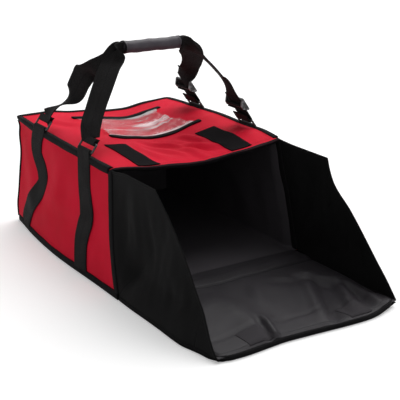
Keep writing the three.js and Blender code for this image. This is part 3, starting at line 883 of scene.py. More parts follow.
class Bench:
    """Short ways to add and join nodes in one tree."""

    def __init__(self, tree: Tree) -> None:
        """Keep the tree to work in."""
        self.tree = tree

    def node(self, kind: str) -> Node:
        """Find the tree's node of a type, given by its class name."""
        return next(node for node in self.tree.nodes if node.bl_idname == kind)

    def set(self, socket: Socket, value: object) -> None:
        """Set an input, or join it to an output.

        Args:
            socket: The input.
            value: A number, a colour or another node's output.
        """
        if isinstance(value, Socket):
            self.tree.links.new(value, socket)
        else:
            socket.default_value = value

    def add(self, kind: str, group: Tree | None = None, **inputs: object) -> Node:
        """Add a node with some inputs set or joined.

        Args:
            kind: The node's class name.
            group: The shared effect that it holds, where it is a group.
            **inputs: Values or outputs, by input name.

        Returns:
            The new node.
        """
        node = self.tree.nodes.new(kind)
        if group:
            node.node_tree = group
        for label, value in inputs.items():
            self.set(node.inputs[label], value)
        return node

    def math(self, operation: str, *values: object) -> Socket:
        """Add a sum and give its output.

        Args:
            operation: The operation's name.
            *values: One or two values or outputs.

        Returns:
            The output.
        """
        node = self.tree.nodes.new("ShaderNodeMath")
        node.operation = operation
        for socket, value in zip(node.inputs, values):
            self.set(socket, value)
        return node.outputs[0]

    def effect(self, name: str, **inputs: object) -> Node:
        """Add a shared effect by its name."""
        return self.add("ShaderNodeGroup", EFFECTS.get(name), **inputs)

    def blend(self, share: object, dark: Triple, light: Triple) -> Socket:
        """Mix two colours by a share.

        Args:
            share: The share of the second colour.
            dark: The first colour.
            light: The second colour.

        Returns:
            The mixed colour's output.
        """
        node = self.tree.nodes.new("ShaderNodeMix")
        node.data_type = "RGBA"
        self.set(node.inputs["Factor"], share)
        self.set(node.inputs[6], (*dark, 1.0))
        self.set(node.inputs[7], (*light, 1.0))
        return node.outputs[2]

    def ramp(self, value: Socket, old: Pair, new: Pair) -> Socket:
        """Stretch a value from one range onto another.

        Args:
            value: The output to read.
            old: The two values that become the ends of the new range.
            new: The new range.

        Returns:
            The stretched value's output.
        """
        ends = dict(zip(("From Min", "From Max", "To Min", "To Max"), (*old, *new)))
        return self.add("ShaderNodeMapRange", Value=value, **ends).outputs["Result"]

    def bump(self, shader: Node, height: object, strength: float, distance: float) -> None:
        """Give a shader its relief, where the distance is the height of a value of one."""
        bump = self.add("ShaderNodeBump", Strength=strength, Distance=distance, Height=height)
        self.set(shader.inputs["Normal"], bump.outputs["Normal"])


class Effects:
    """Shared shader effects, each built once."""

    def __init__(self) -> None:
        """Start with none built."""
        self.built: dict[str, Tree] = {}

    def get(self, name: str) -> Tree:
        """Give an effect, and build it at its first use.

        Args:
            name: The name of the effect and of the method that builds it.

        Returns:
            The group.
        """
        if name not in self.built:
            inputs, outputs, wire = {
                "weave": ({"Pitch": 0.001}, ("Height",), self._weave),
                "ribs": ({"Pitch": 0.0018}, ("Height",), self._ribs),
                "drift": ({"Patches": 14.0, "Flecks": 420.0}, ("Tone", "Fleck"), self._drift),
                "grain": ({"Scale": 900.0}, ("Height",), self._grain),
                "painted_glints": ({"Along": 3.0, "Across": 34.0}, ("PaintedGlint",), self._painted_glints),
            }[name]
            tree = bpy.data.node_groups.new(name, "ShaderNodeTree")
            tree.interface.new_socket("Vector", in_out="INPUT", socket_type="NodeSocketVector")
            for label, default in inputs.items():
                socket = tree.interface.new_socket(label, in_out="INPUT", socket_type="NodeSocketFloat")
                socket.default_value = default
            for label in outputs:
                tree.interface.new_socket(label, in_out="OUTPUT", socket_type="NodeSocketFloat")
            start = tree.nodes.new("NodeGroupInput")
            end = tree.nodes.new("NodeGroupOutput")
            bench = Bench(tree)
            for label, value in zip(outputs, wire(bench, start.outputs)):
                bench.set(end.inputs[label], value)
            self.built[name] = tree
        return self.built[name]

    @staticmethod
    def _arc(bench: Bench, value: Socket) -> Socket:
        """Give one rounded crown for each whole step of a value."""
        return bench.math("SINE", bench.math("MULTIPLY", bench.math("FRACT", value), math.pi))

    def _weave(self, bench: Bench, given: object) -> tuple:
        """Wire the plain weave: threads that pass over and under each other."""
        split = bench.add("ShaderNodeSeparateXYZ", Vector=given["Vector"])
        across = bench.math("DIVIDE", split.outputs["X"], given["Pitch"])
        along = bench.math("DIVIDE", split.outputs["Y"], given["Pitch"])
        cells = bench.math("ADD", bench.math("FLOOR", across), bench.math("FLOOR", along))
        over = bench.math("FLOORED_MODULO", cells, 2.0)
        warp, weft = self._arc(bench, across), self._arc(bench, along)
        upper = bench.math("MULTIPLY", over, warp)
        lower = bench.math("MULTIPLY", bench.math("SUBTRACT", 1.0, over), weft)
        threads = bench.math("ADD", bench.math("ADD", upper, lower), bench.math("MULTIPLY", warp, weft))
        return (bench.math("MULTIPLY", threads, 0.5),)

    def _ribs(self, bench: Bench, given: object) -> tuple:
        """Wire the webbing's slanted ribs, whose heading turns every few threads."""
        split = bench.add("ShaderNodeSeparateXYZ", Vector=given["Vector"])
        bands = bench.math("MULTIPLY", split.outputs["X"], 80.0)
        slant = bench.math("MULTIPLY", bench.math("PINGPONG", bands, 0.5), 6.0)
        threads = bench.math("DIVIDE", split.outputs["Y"], given["Pitch"])
        rib = self._arc(bench, bench.math("ADD", threads, slant))
        thread = self._arc(bench, bench.math("DIVIDE", split.outputs["X"], 0.0011))
        groove = bench.math("GREATER_THAN", bench.math("FRACT", bands), 0.94)
        height = bench.math("MULTIPLY", rib, bench.ramp(thread, (0.0, 1.0), (0.6, 1.0)))
        return (bench.math("SUBTRACT", height, bench.math("MULTIPLY", groove, 0.5)),)

    def _drift(self, bench: Bench, given: object) -> tuple:
        """Wire slow patches of tone and a fine fleck, both between 0 and 1."""
        broad = bench.add("ShaderNodeTexNoise", Vector=given["Vector"], Scale=given["Patches"], Detail=3.0)
        fine = bench.add("ShaderNodeTexNoise", Vector=given["Vector"], Scale=given["Flecks"], Detail=2.0)
        return broad.outputs["Fac"], fine.outputs["Fac"]

    def _grain(self, bench: Bench, given: object) -> tuple:
        """Wire the pebbled grain of leathercloth."""
        cells = bench.add("ShaderNodeTexVoronoi", Vector=given["Vector"], Scale=given["Scale"])
        cells.feature = "SMOOTH_F1"
        folds = bench.add("ShaderNodeTexNoise", Vector=given["Vector"], Scale=220.0, Detail=4.0)
        pebble = bench.math("SUBTRACT", 1.0, cells.outputs["Distance"])
        return (bench.math("ADD", pebble, bench.math("MULTIPLY", folds.outputs["Fac"], 0.6)),)

    def _painted_glints(self, bench: Bench, given: object) -> tuple:
        """Wire thin painted highlights that run across the bag with soft bends, in place of reflections on
        the film.
        """
        split = bench.add("ShaderNodeSeparateXYZ", Vector=given["Vector"])
        x = bench.math("MULTIPLY", split.outputs["X"], given["Along"])
        y = bench.math("MULTIPLY", split.outputs["Y"], given["Across"])
        joined = bench.add("ShaderNodeCombineXYZ", X=x, Y=y)
        noise = bench.add(
            "ShaderNodeTexNoise", Vector=joined.outputs["Vector"], Scale=1.0, Detail=3.0, Distortion=0.9
        )
        return (bench.ramp(noise.outputs["Fac"], (0.57, 0.66), (0.0, 1.0)),)


EFFECTS = Effects()


@dataclass(frozen=True)
class Finish:
    """A finish, whose material is built once."""

    name: str
    slot: str
    dark: Triple = (0.010, 0.010, 0.010)
    light: Triple = (0.020, 0.020, 0.020)
    roughness: float = 0.70
    specular: float = 0.04
    sheen: float = 0.0

    def material(self) -> bpy.types.Material:
        """Give the finish's material."""
        made = bpy.data.materials.get(self.name)
        if made:
            return made
        made = bpy.data.materials.new(self.name)
        made.use_nodes = True
        bench = Bench(made.node_tree)
        shader = bench.node("ShaderNodeBsdfPrincipled")
        shader.inputs["Roughness"].default_value = self.roughness
        shader.inputs["Specular IOR Level"].default_value = self.specular
        shader.inputs["Sheen Weight"].default_value = self.sheen
        self.wire(bench, shader, bench.add("ShaderNodeTexCoord").outputs)
        return made

    def wire(self, bench: Bench, shader: Node, place: object) -> None:
        """Join the finish's effects to its shader, from the outputs that hold its coordinates."""
        raise NotImplementedError

    def rough(self, bench: Bench, shader: Node, value: object) -> None:
        """Let a value between 0.3 and 0.7 vary the roughness a little."""
        band = (self.roughness - 0.07, self.roughness + 0.07)
        bench.set(shader.inputs["Roughness"], bench.ramp(value, (0.3, 0.7), band))


@dataclass(frozen=True)
class Nylon(Finish):
    """Woven nylon cloth, plain or coated."""

    pitch: float = 0.0011
    relief: float = 0.0002

    def wire(self, bench: Bench, shader: Node, place: object) -> None:
        """Join the weave and the drift of tone to the shader."""
        weave = bench.effect("weave", Vector=place["UV"], Pitch=self.pitch)
        drift = bench.effect("drift", Vector=place["Object"], Patches=9.0)
        tone = bench.ramp(drift.outputs["Tone"], (0.25, 0.75), (0.1, 0.75))
        # Thread crowns are drawn lighter and the hollows between threads darker: painted shade in the
        # weave.
        thread = bench.math("MULTIPLY", weave.outputs["Height"], 0.22)
        fleck = bench.ramp(drift.outputs["Fleck"], (0.0, 1.0), (-0.175, 0.175))
        share = bench.math("ADD", bench.math("ADD", tone, thread), fleck)
        bench.set(shader.inputs["Base Color"], bench.blend(share, self.dark, self.light))
        self.rough(bench, shader, drift.outputs["Fleck"])
        bench.bump(shader, weave.outputs["Height"], 0.6, self.relief)


@dataclass(frozen=True)
class RibbedTape(Finish):
    """Webbing or binding tape, with slanted ribs."""

    pitch: float = 0.0019

    def wire(self, bench: Bench, shader: Node, place: object) -> None:
        """Join the ribs and the fleck to the shader."""
        ribs = bench.effect("ribs", Vector=place["UV"], Pitch=self.pitch)
        drift = bench.effect("drift", Vector=place["Object"], Patches=30.0, Flecks=600.0)
        fleck = bench.ramp(drift.outputs["Fleck"], (0.3, 0.7), (-0.1, 0.4))
        # Rib crowns are drawn lighter and the grooves darker: painted shade in the ribs.
        share = bench.math("ADD", bench.math("MULTIPLY", ribs.outputs["Height"], 0.5), fleck)
        bench.set(shader.inputs["Base Color"], bench.blend(share, self.dark, self.light))
        self.rough(bench, shader, drift.outputs["Tone"])
        bench.bump(shader, ribs.outputs["Height"], 0.7, 0.0004)


@dataclass(frozen=True)
class FineFibre(Finish):
    """Matted loops or twisted thread, told apart by the size of their flecks."""

    flecks: float = 1500.0
    relief: float = 0.0006

    def wire(self, bench: Bench, shader: Node, place: object) -> None:
        """Join the flecks to the shader."""
        drift = bench.effect("drift", Vector=place["Object"], Patches=90.0, Flecks=self.flecks)
        bench.set(shader.inputs["Base Color"], bench.blend(drift.outputs["Fleck"], self.dark, self.light))
        bench.bump(shader, drift.outputs["Fleck"], 0.8, self.relief)


@dataclass(frozen=True)
class Thread(FineFibre):
    """Sewing thread."""

    roughness: float = 0.6
    specular: float = 0.1
    sheen: float = 0.02
    flecks: float = 2500.0
    relief: float = 0.0002


@dataclass(frozen=True)
class ClearFilm(Finish):
    """Soft clear film, crinkled and cloudy, with painted highlights: bright lines along its folds stand in
    for reflections.
    """

    def wire(self, bench: Bench, shader: Node, place: object) -> None:
        """Join the painted highlights and the cloud to the shader."""
        drift = bench.effect("drift", Vector=place["Object"], Patches=22.0, Flecks=90.0)
        painted_glints = bench.effect("painted_glints", Vector=place["Object"])
        flat = bench.add("ShaderNodeSeparateXYZ", Vector=place["UV"])
        # Painted highlights: a bright band beside the front strip and a bright wedge at the rear, joined
        # below with the thin painted lines.
        front = bench.ramp(flat.outputs["Y"], (0.009, 0.018), (1.0, 0.0))
        slant = bench.math("ADD", flat.outputs["Y"], bench.math("MULTIPLY", flat.outputs["X"], 0.25))
        rear = bench.ramp(slant, (0.180, 0.196), (0.0, 0.8))
        pulled = bench.math("MAXIMUM", front, rear)
        painted_glint = bench.math("MAXIMUM", pulled, painted_glints.outputs["PaintedGlint"])
        cloud = bench.ramp(drift.outputs["Tone"], (0.35, 0.70), (0.12, 0.32))
        # Where highlights are painted, the film is drawn whiter and less clear.
        bench.set(shader.inputs["Alpha"], bench.math("ADD", cloud, bench.math("MULTIPLY", painted_glint, 0.45)))
        bench.set(shader.inputs["Base Color"], bench.blend(painted_glint, self.dark, self.light))
        bench.bump(shader, drift.outputs["Fleck"], 0.5, 0.0012)


@dataclass(frozen=True)
class CoatedMetal(Finish):
    """Steel wire under black lacquer, rubbed thin on its edges."""

    def wire(self, bench: Bench, shader: Node, place: object) -> None:
        """Join the worn edges to the shader."""
        ground = bench.add("ShaderNodeNewGeometry")
        drift = bench.effect("drift", Vector=place["Object"], Patches=120.0, Flecks=700.0)
        edge = bench.ramp(ground.outputs["Pointiness"], (0.53, 0.60), (0.0, 1.0))
        worn = bench.math("MULTIPLY", edge, bench.ramp(drift.outputs["Tone"], (0.45, 0.62), (0.0, 0.8)))
        bench.set(shader.inputs["Base Color"], bench.blend(worn, self.dark, self.light))
        bench.set(shader.inputs["Metallic"], bench.math("MULTIPLY", worn, 0.9))
        self.rough(bench, shader, drift.outputs["Fleck"])
        bench.bump(shader, drift.outputs["Fleck"], 0.25, 0.0002)


@dataclass(frozen=True)
class Leathercloth(Finish):
    """The grip's padded leathercloth."""

    def wire(self, bench: Bench, shader: Node, place: object) -> None:
        """Join the grain and the drift of tone to the shader."""
        grain = bench.effect("grain", Vector=place["Object"])
        drift = bench.effect("drift", Vector=place["Object"], Patches=40.0)
        bench.set(shader.inputs["Base Color"], bench.blend(drift.outputs["Tone"], self.dark, self.light))
        bench.set(shader.inputs["Roughness"], bench.ramp(grain.outputs["Height"], (0.4, 1.3), (0.62, 0.42)))
        bench.bump(shader, grain.outputs["Height"], 0.5, 0.0004)


RED_NYLON = Nylon(
    "red_nylon_cloth", "red_nylon", dark=(0.62, 0.006, 0.022), light=(0.86, 0.016, 0.052), specular=0.06
)
BLACK_NYLON = Nylon(
    "black_nylon_cloth", "black_nylon", dark=(0.0058, 0.0058, 0.0061), light=(0.0110, 0.0108, 0.0110)
)
SATIN_LINING = Nylon(
    "satin_lining", "flap_lining", dark=(0.016, 0.0145, 0.0165), light=(0.029, 0.0262, 0.0302),
    roughness=0.50, specular=0.13, pitch=0.0009, relief=0.0001,
)
# The same satin as the flap's lining, drawn more than twice as light: painted light that lifts the shaded
# inside of the box.
BOX_LINING = Nylon(
    "satin_box_lining", "lining", dark=(0.038, 0.0345, 0.039), light=(0.066, 0.060, 0.067),
    roughness=0.50, specular=0.20, pitch=0.0009, relief=0.0001,
)
BINDING = RibbedTape(
    "black_binding_tape", "binding", dark=(0.003, 0.003, 0.0035), light=(0.012, 0.011, 0.012),
    pitch=0.0012,
)
# The cord is real; its tone, lighter and redder than the binding, is partly painted highlight along the
# mouth's top edge.
PIPING = RibbedTape(
    "piping_with_painted_highlight", "binding", dark=(0.020, 0.008, 0.011), light=(0.060, 0.026, 0.034),
    pitch=0.0012,
)
WEBBING = RibbedTape(
    "black_strap_webbing", "webbing", dark=(0.0060, 0.0060, 0.0062), light=(0.0300, 0.0285, 0.0290)
)
PILE = FineFibre(
    "black_loop_pile", "hook_and_loop", dark=(0.006, 0.005, 0.006), light=(0.020, 0.018, 0.019),
    roughness=0.95, specular=0.02,
)
HOOKS = FineFibre(
    "grey_hook_tape", "hook_and_loop", dark=(0.028, 0.026, 0.0285), light=(0.050, 0.046, 0.051),
    specular=0.05,
)
# The light colour is the white of the film's painted highlights.
FILM = ClearFilm(
    "crinkled_clear_film", "clear_film", dark=(0.50, 0.46, 0.48), light=(0.92, 0.90, 0.92),
    roughness=0.15, specular=0.70,
)
METAL = CoatedMetal(
    "black_lacquered_steel", "coated_metal", dark=(0.014, 0.014, 0.015), light=(0.24, 0.24, 0.25),
    roughness=0.34, specular=0.40,
)
GRIP_COVER = Leathercloth(
    "brown_black_leathercloth", "leatherette", dark=(0.034, 0.029, 0.036), light=(0.074, 0.064, 0.078),
    roughness=0.5, specular=0.3,
)
BLACK_THREAD = Thread("black_thread", "black_nylon", light=(0.020, 0.019, 0.020))
GREY_THREAD = Thread("grey_thread", "flap_lining", (0.030, 0.028, 0.031), (0.062, 0.057, 0.062))
RED_THREAD = Thread("red_thread", "red_nylon", (0.42, 0.010, 0.028), (0.66, 0.024, 0.060))


def dressed(piece: Object, finish: Finish, body: str | None, *nodes: str) -> Object:
    """Give a piece its finish, its body and the solids that it stands for.

    Args:
        piece: The piece.
        finish: Its finish.
        body: The body it rides on, or none for a piece that spans two, which is then left unattached.
        *nodes: The solids that it stands for.

    Returns:
        The same piece.
    """
    piece.data.materials.clear()
    piece.data.materials.append(finish.material())
    if body:
        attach(piece, body)
    if nodes:
        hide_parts(*nodes)
    LOG.info("%s: %d faces", piece.name, len(piece.data.polygons))
    return piece


# Sub-assemblies


@dataclass(frozen=True)
class PaddedBox:
    """The red outer cover, the black base and the inner lining."""

    form: BoxForm = BOX
    foot: float = 0.010
    cloth: float = 0.0009
    wrap: float = 0.006

    def _shell(self, across: Array, along: Array) -> Array:
        """Place the outer cover, from the left foot over the top and from mouth to back."""
        form = self.form
        section, _ = hoop(form.half_width, self.foot, form.height, form.corner)
        x, z = Path(section).read(across).T
        start = form.mouth_y(z) + 0.004 * (1.0 - eased(z, 0.004, 0.030))
        y = start + along * (form.back - start)
        turned = eased(y, form.back - self.wrap, form.back)
        return form.slumped(points_of(x * (1.0 - 0.012 * turned), y, z))

    def _back(self, across: Array, up: Array) -> Array:
        """Place the back panel."""
        form = self.form
        x = form.half_width * (1.0 - 2.0 * across) * 0.99
        z = self.foot + up * (form.height - 0.002 - self.foot)
        beside = np.minimum(across, 1.0 - across) * 2.0 * form.half_width
        edge = np.minimum(beside, (1.0 - up) * form.height)
        return form.slumped(points_of(x, form.back - 0.001 + 0.003 * eased(edge, 0.0, 0.02), z))

    def _lining(self, around: Array, along: Array) -> Array:
        """Place the lining, round its four panels and from mouth to back."""
        form = self.form
        inset = form.rim_wall + (form.wall - form.rim_wall) * eased(along * 0.44, 0.0, 0.035)
        turn = np.minimum((around * 4.0).astype(int), 3)
        t = around * 4.0 - turn
        half = form.half_width - inset
        low, high = form.wall, form.height - inset
        x = np.choose(turn, [-half, -half + 2 * half * t, half, half - 2 * half * t])
        z = np.choose(turn, [low + (high - low) * t, high, high - (high - low) * t, low + 0 * t])
        start = form.mouth_y(z)
        return form.slumped(points_of(x, start + along * (form.back - form.wall - start), z))

    def _lining_end(self, across: Array, up: Array) -> Array:
        """Place the lining's back panel."""
        form = self.form
        half = form.half_width - form.wall
        z = form.wall + up * (form.height - 2.0 * form.wall)
        return form.slumped(points_of(half * (2.0 * across - 1.0), form.back - form.wall, z))

    def _base(self, around: Array, along: Array) -> Array:
        """Place the base pad, whose section is a rounded slab."""
        form = self.form
        wide, tall = squared(2.0 * np.pi * around, 0.12, 0.5)
        start = form.mouth_y(np.zeros_like(along)) + 0.002
        y = start + along * (form.back - 0.001 - start)
        return form.slumped(points_of((form.half_width - 0.0006) * wide, y, 0.0063 + 0.0056 * tall))

    def build(self) -> None:
        """Build and dress the box's cloth."""
        shell = panel("outer_cover", self._shell, (190, 112), (0.88, 0.44), self.cloth)
        nodes = [f"{face}_{layer}" for face in ("top", "left", "right") for layer in ("cover", "foam")]
        dressed(shell, RED_NYLON, "box", *nodes)
        back = panel("back_panel", self._back, (96, 56), (0.40, 0.23), self.cloth)
        dressed(back, RED_NYLON, "box", "back_cover", "back_foam")
        base = rolled("base_pad", self._base, (96, 90), (0.82, 0.50))
        dressed(base, BLACK_NYLON, "box", "base_cover", "base_foam")
        mesh = shaped_grid(self._lining, (160, 90), (1.17, 0.46))
        bmesh.ops.reverse_faces(mesh, faces=mesh.faces)
        bmesh.ops.remove_doubles(mesh, verts=mesh.verts, dist=1e-6)
        lining = finished(mesh, "inner_lining")
        dressed(lining, BOX_LINING, "box", "top_lining", "left_lining", "right_lining", "base_lining")
        end = panel("inner_lining_end", self._lining_end, (60, 40), (0.376, 0.216))
        dressed(end, BOX_LINING, "box", "back_lining")


@dataclass(frozen=True)
class Bindings:
    """The black tapes that close the box's edges."""

    form: BoxForm = BOX
    rear_radius: float = 0.010
    mouth_foot: float = 0.0135
    side_flange: float = 1.35
    top_flange: float = 0.50
    top_section: Pairs = (
        (0.0006, -0.0105), (0.0020, -0.0085), (0.0024, -0.0040), (0.0022, -0.0005), (0.0012, 0.0016),
        (-0.0010, 0.0024), (-0.0050, 0.0024), (-0.0088, 0.0018), (-0.0108, 0.0004),
        (-0.0060, -0.0004), (-0.0010, -0.0012), (-0.0006, -0.0060),
    )
    base_section: Pairs = (
        (0.0006, 0.0150), (0.0019, 0.0130), (0.0026, 0.0070), (0.0024, 0.0010), (0.0010, 0.0002),
        (-0.0050, 0.0002), (-0.0110, 0.0004), (-0.0060, 0.0014), (-0.0008, 0.0022), (-0.0006, 0.0080),
    )
    upright_section: Pairs = (
        (0.0006, -0.0050), (0.0014, -0.0040), (0.0019, -0.0015), (0.0014, 0.0018),
        (-0.0030, 0.0024), (-0.0080, 0.0020), (-0.0105, 0.0007), (-0.0050, -0.0006), (-0.0006, -0.0050),
    )
    mouth_section: Pairs = (
        (-0.0110, 0.0005), (-0.0090, 0.0016), (-0.0030, 0.0021), (0.0008, 0.0015), (0.0021, -0.0006),
        (0.0022, -0.0030), (0.0014, -0.0052), (-0.0020, -0.0064), (-0.0080, -0.0066), (-0.0105, -0.0058),
        (-0.0040, -0.0046), (-0.0012, -0.0030), (-0.0040, -0.0008),
    )

    def _rim(self, name: str, section: Pairs, z: float, front: float) -> Object:
        """Build a tape along the left edge, the back edge and the right edge of a panel.

        Args:
            name: The piece's name.
            section: Its section, outwards and upwards.
            z: The edge's height.
            front: The Y of its two ends.

        Returns:
            The piece.
        """
        flat, out = hoop(self.form.half_width, front, self.form.back, self.rear_radius)
        path = Path(points_of(flat[:, 0], flat[:, 1], z))
        outward = points_of(out[:, 0], out[:, 1], 0.0)
        upward = np.tile(UP, (len(flat), 1))
        return Tape(name, section, path, outward, upward, self.form.slumped, (26, 250)).build()

    def _upright(self, side: Side) -> Object:
        """Build the tape on a rear corner of the box."""
        x = side.value * self.form.half_width
        path = Path(np.array([(x, self.form.back, 0.0112), (x, self.form.back, 0.2300)]))
        outward = np.tile((float(side.value), 0.0, 0.0), (2, 1))
        behind = np.tile(ALONG_BAG, (2, 1))
        name = f"{side.label}_rear_corner_tape"
        return Tape(name, self.upright_section, path, outward, behind, self.form.slumped, (22, 70)).build()

    def _mouth(self) -> Object:
        """Build the tape round the slanted mouth."""
        form = self.form
        flat, out = hoop(form.half_width, self.mouth_foot, form.height, form.corner)
        x, z = flat.T
        path = Path(points_of(x, form.mouth_y(z), z))
        forward = np.tile(TO_FRONT, (len(x), 1))
        outward = points_of(out[:, 0], 0.0, out[:, 1])
        flange = (self.side_flange + (self.top_flange - self.side_flange) * out[:, 1])[:, None]
        return Tape(
            "mouth_tape", self.mouth_section, path, forward, outward, form.slumped, (30, 300), flange=flange
        ).build()

    def _piping(self, around: Array, along: Array) -> Array:
        """Run a thin round cord along the mouth's top edge."""
        form = self.form
        angle = 2.0 * np.pi * around
        x = (form.half_width - 0.004) * (2.0 * along - 1.0)
        y = form.mouth_top - 0.0015 + 0.0013 * np.cos(angle)
        return form.slumped(points_of(x, y, form.height + 0.0006 + 0.0013 * np.sin(angle)))

    def build(self) -> None:
        """Build and dress the tapes."""
        top = self._rim("top_edge_tape", self.top_section, self.form.height, self.form.mouth_top + 0.0105)
        dressed(top, BINDING, "box", "top_binding")
        low_front = float(self.form.mouth_y(np.array(0.005))) + 0.002
        base = self._rim("base_edge_tape", self.base_section, 0.0, low_front)
        dressed(base, BINDING, "box", "base_binding")
        for side in Side:
            dressed(self._upright(side), BINDING, "box", f"{side.label}_rear_binding")
        dressed(self._mouth(), BINDING, "box", "mouth_binding")
        dressed(rolled("mouth_piping", self._piping, (8, 160), (0.008, 0.392)), PIPING, "box")


@dataclass(frozen=True)
class TicketWindow:
    """The clear pocket on the top and its two strips."""

    form: BoxForm = BOX
    middle: float = 0.020
    half_width: float = 0.108
    front: float = 0.16285
    rear: float = 0.33485
    strip: float = 0.0140
    soft: Ripples = Ripples(seed=44, shortest=0.018, longest=0.08, heading=12, spread=22)
    crumple: Ripples = Ripples(seed=47, shortest=0.010, longest=0.04, heading=50, spread=60)

    def _film(self, across: Array, along: Array) -> Array:
        """Place the film, crumpled where nothing holds it down."""
        bow = np.sin(np.pi * along)
        y = self.front + along * (self.rear - self.front)
        x = self.middle + self.half_width * (2.0 * across - 1.0) + 0.006 * bow * (1.0 - across)
        x = x - 0.034 * bow**0.8 * across**3
        z = self.form.height + 0.0012 + 0.007 * bow * (0.5 + 0.5 * across)
        z = z + 0.0022 * np.clip(bow, 0, 0.6) * (1.0 + self.soft.height(x, y))
        loose = np.clip(bow, 0, 0.7) * eased(across, 0.62, 0.92)
        z = z + 0.0030 * loose * (1.0 + self.crumple.height(x, y))
        return self.form.slumped(points_of(x, y, z))

    def _strip(self, name: str, place_y: float) -> Object:
        """Build one of the strips that hold the film."""

        def place(around: Array, along: Array) -> Array:
            """Run the strip's low rounded section across the bag."""
            wide, tall = squared(2.0 * np.pi * around, 0.7, 0.5)
            x = self.middle + (self.half_width + 0.004) * (2.0 * along - 1.0)
            z = self.form.height + 0.0018 + 0.0018 * tall
            return self.form.slumped(points_of(x, place_y + 0.5 * self.strip * wide, z))

        return rolled(name, place, (20, 110), (0.022, 2 * self.half_width))

    def build(self) -> None:
        """Build and dress the window."""
        width = 2.0 * self.half_width
        film = panel("ticket_window_film", self._film, (130, 90), (width, self.rear - self.front))
        dressed(film, FILM, "box", "window_film")
        strips = {"front_film_strip": self.front, "rear_film_strip": self.rear}
        rows = []
        for (name, y), node in zip(strips.items(), ("window_front_strip", "window_rear_strip")):
            dressed(self._strip(name, y), BINDING, "box", node)
            for offset in (-0.003, 0.003):
                x = self.middle + np.linspace(-self.half_width, self.half_width, 160)
                line = self.form.slumped(points_of(x, y + offset, self.form.height + 0.0036))
                rows.append((line, UP))
        dressed(Stitches("film_strip_stitches").build(rows), BLACK_THREAD, "box")


@dataclass(frozen=True)
class LoopPatches:
    """The two loop patches on the top."""

    form: BoxForm = BOX
    spread: float = 0.220
    width: float = 0.050
    front: float = -0.02515
    length: float = 0.136
    pile: float = 0.0018
    seam: float = 0.003

    def build(self) -> None:
        """Build and dress the patches and their stitches."""
        rows = []
        for side in Side:
            middle = side.value * 0.5 * self.spread

            def place(around: Array, along: Array, middle: float = middle) -> Array:
                """Lay the patch's low section along the top."""
                wide, tall = squared(2.0 * np.pi * around, 0.5, 0.25)
                x = middle + 0.5 * self.width * wide
                y = self.front + self.length * along
                z = self.form.height + 0.0003 + 0.5 * self.pile * (1.0 + tall)
                return self.form.slumped(points_of(x, y, z))

            patch = rolled(f"{side.label}_pile_patch", place, (40, 60), (0.104, self.length))
            dressed(patch, PILE, "box", f"{side.label}_loop_patch")
            half = 0.5 * self.width - self.seam
            near, far = self.front + self.seam, self.front + self.length - self.seam
            ring = np.array([(-half, near), (half, near), (half, far), (-half, far), (-half, near)])
            x, y = Path(ring).read(np.linspace(0.0, 1.0, 161)).T
            seam_z = self.form.height + self.pile + 0.0004
            rows.append((self.form.slumped(points_of(middle + x, y, seam_z)), UP))
        dressed(Stitches("loop_patch_stitches").build(rows), BLACK_THREAD, "box")


@dataclass(frozen=True)
class RingPlace:
    """A ring's frame: its lower bar, and the direction in which it is tipped."""

    side: Side
    row: Row
    bar_x: float = 0.1975
    bar_z: float = 0.2466
    tilt: float = math.radians(36.0)
    span: float = 0.018
    eye: float = 0.00375

    def point(self, up: float, out: float) -> Triple:
        """Give the point a distance up along the ring and out from its plane."""
        x = self.bar_x - up * math.sin(self.tilt) + out * math.cos(self.tilt)
        z = self.bar_z + up * math.cos(self.tilt) + out * math.sin(self.tilt)
        return self.side.value * x, self.row.value, z

    def body(self) -> str:
        """Give the name of the ring's body."""
        return f"{self.side.label}_{self.row.label}_ring"

    def turn(self, up: float, out: float, start: float, angle: float, count: int = 14) -> list[Station]:
        """Give stations of webbing that turns round a bar.

        Args:
            up: The bar's place up along the ring.
            out: The bar's place out of the ring's plane.
            start: The angle at which the webbing meets it, from the outward direction.
            angle: The angle through which it turns.
            count: How many steps it takes.

        Returns:
            The stations.
        """
        turns = [start + angle * step / count for step in range(count + 1)]
        spots = [(up + self.eye * math.sin(turn), out + self.eye * math.cos(turn)) for turn in turns]
        return [Station(self.point(*spot), ALONG_BAG) for spot in spots]


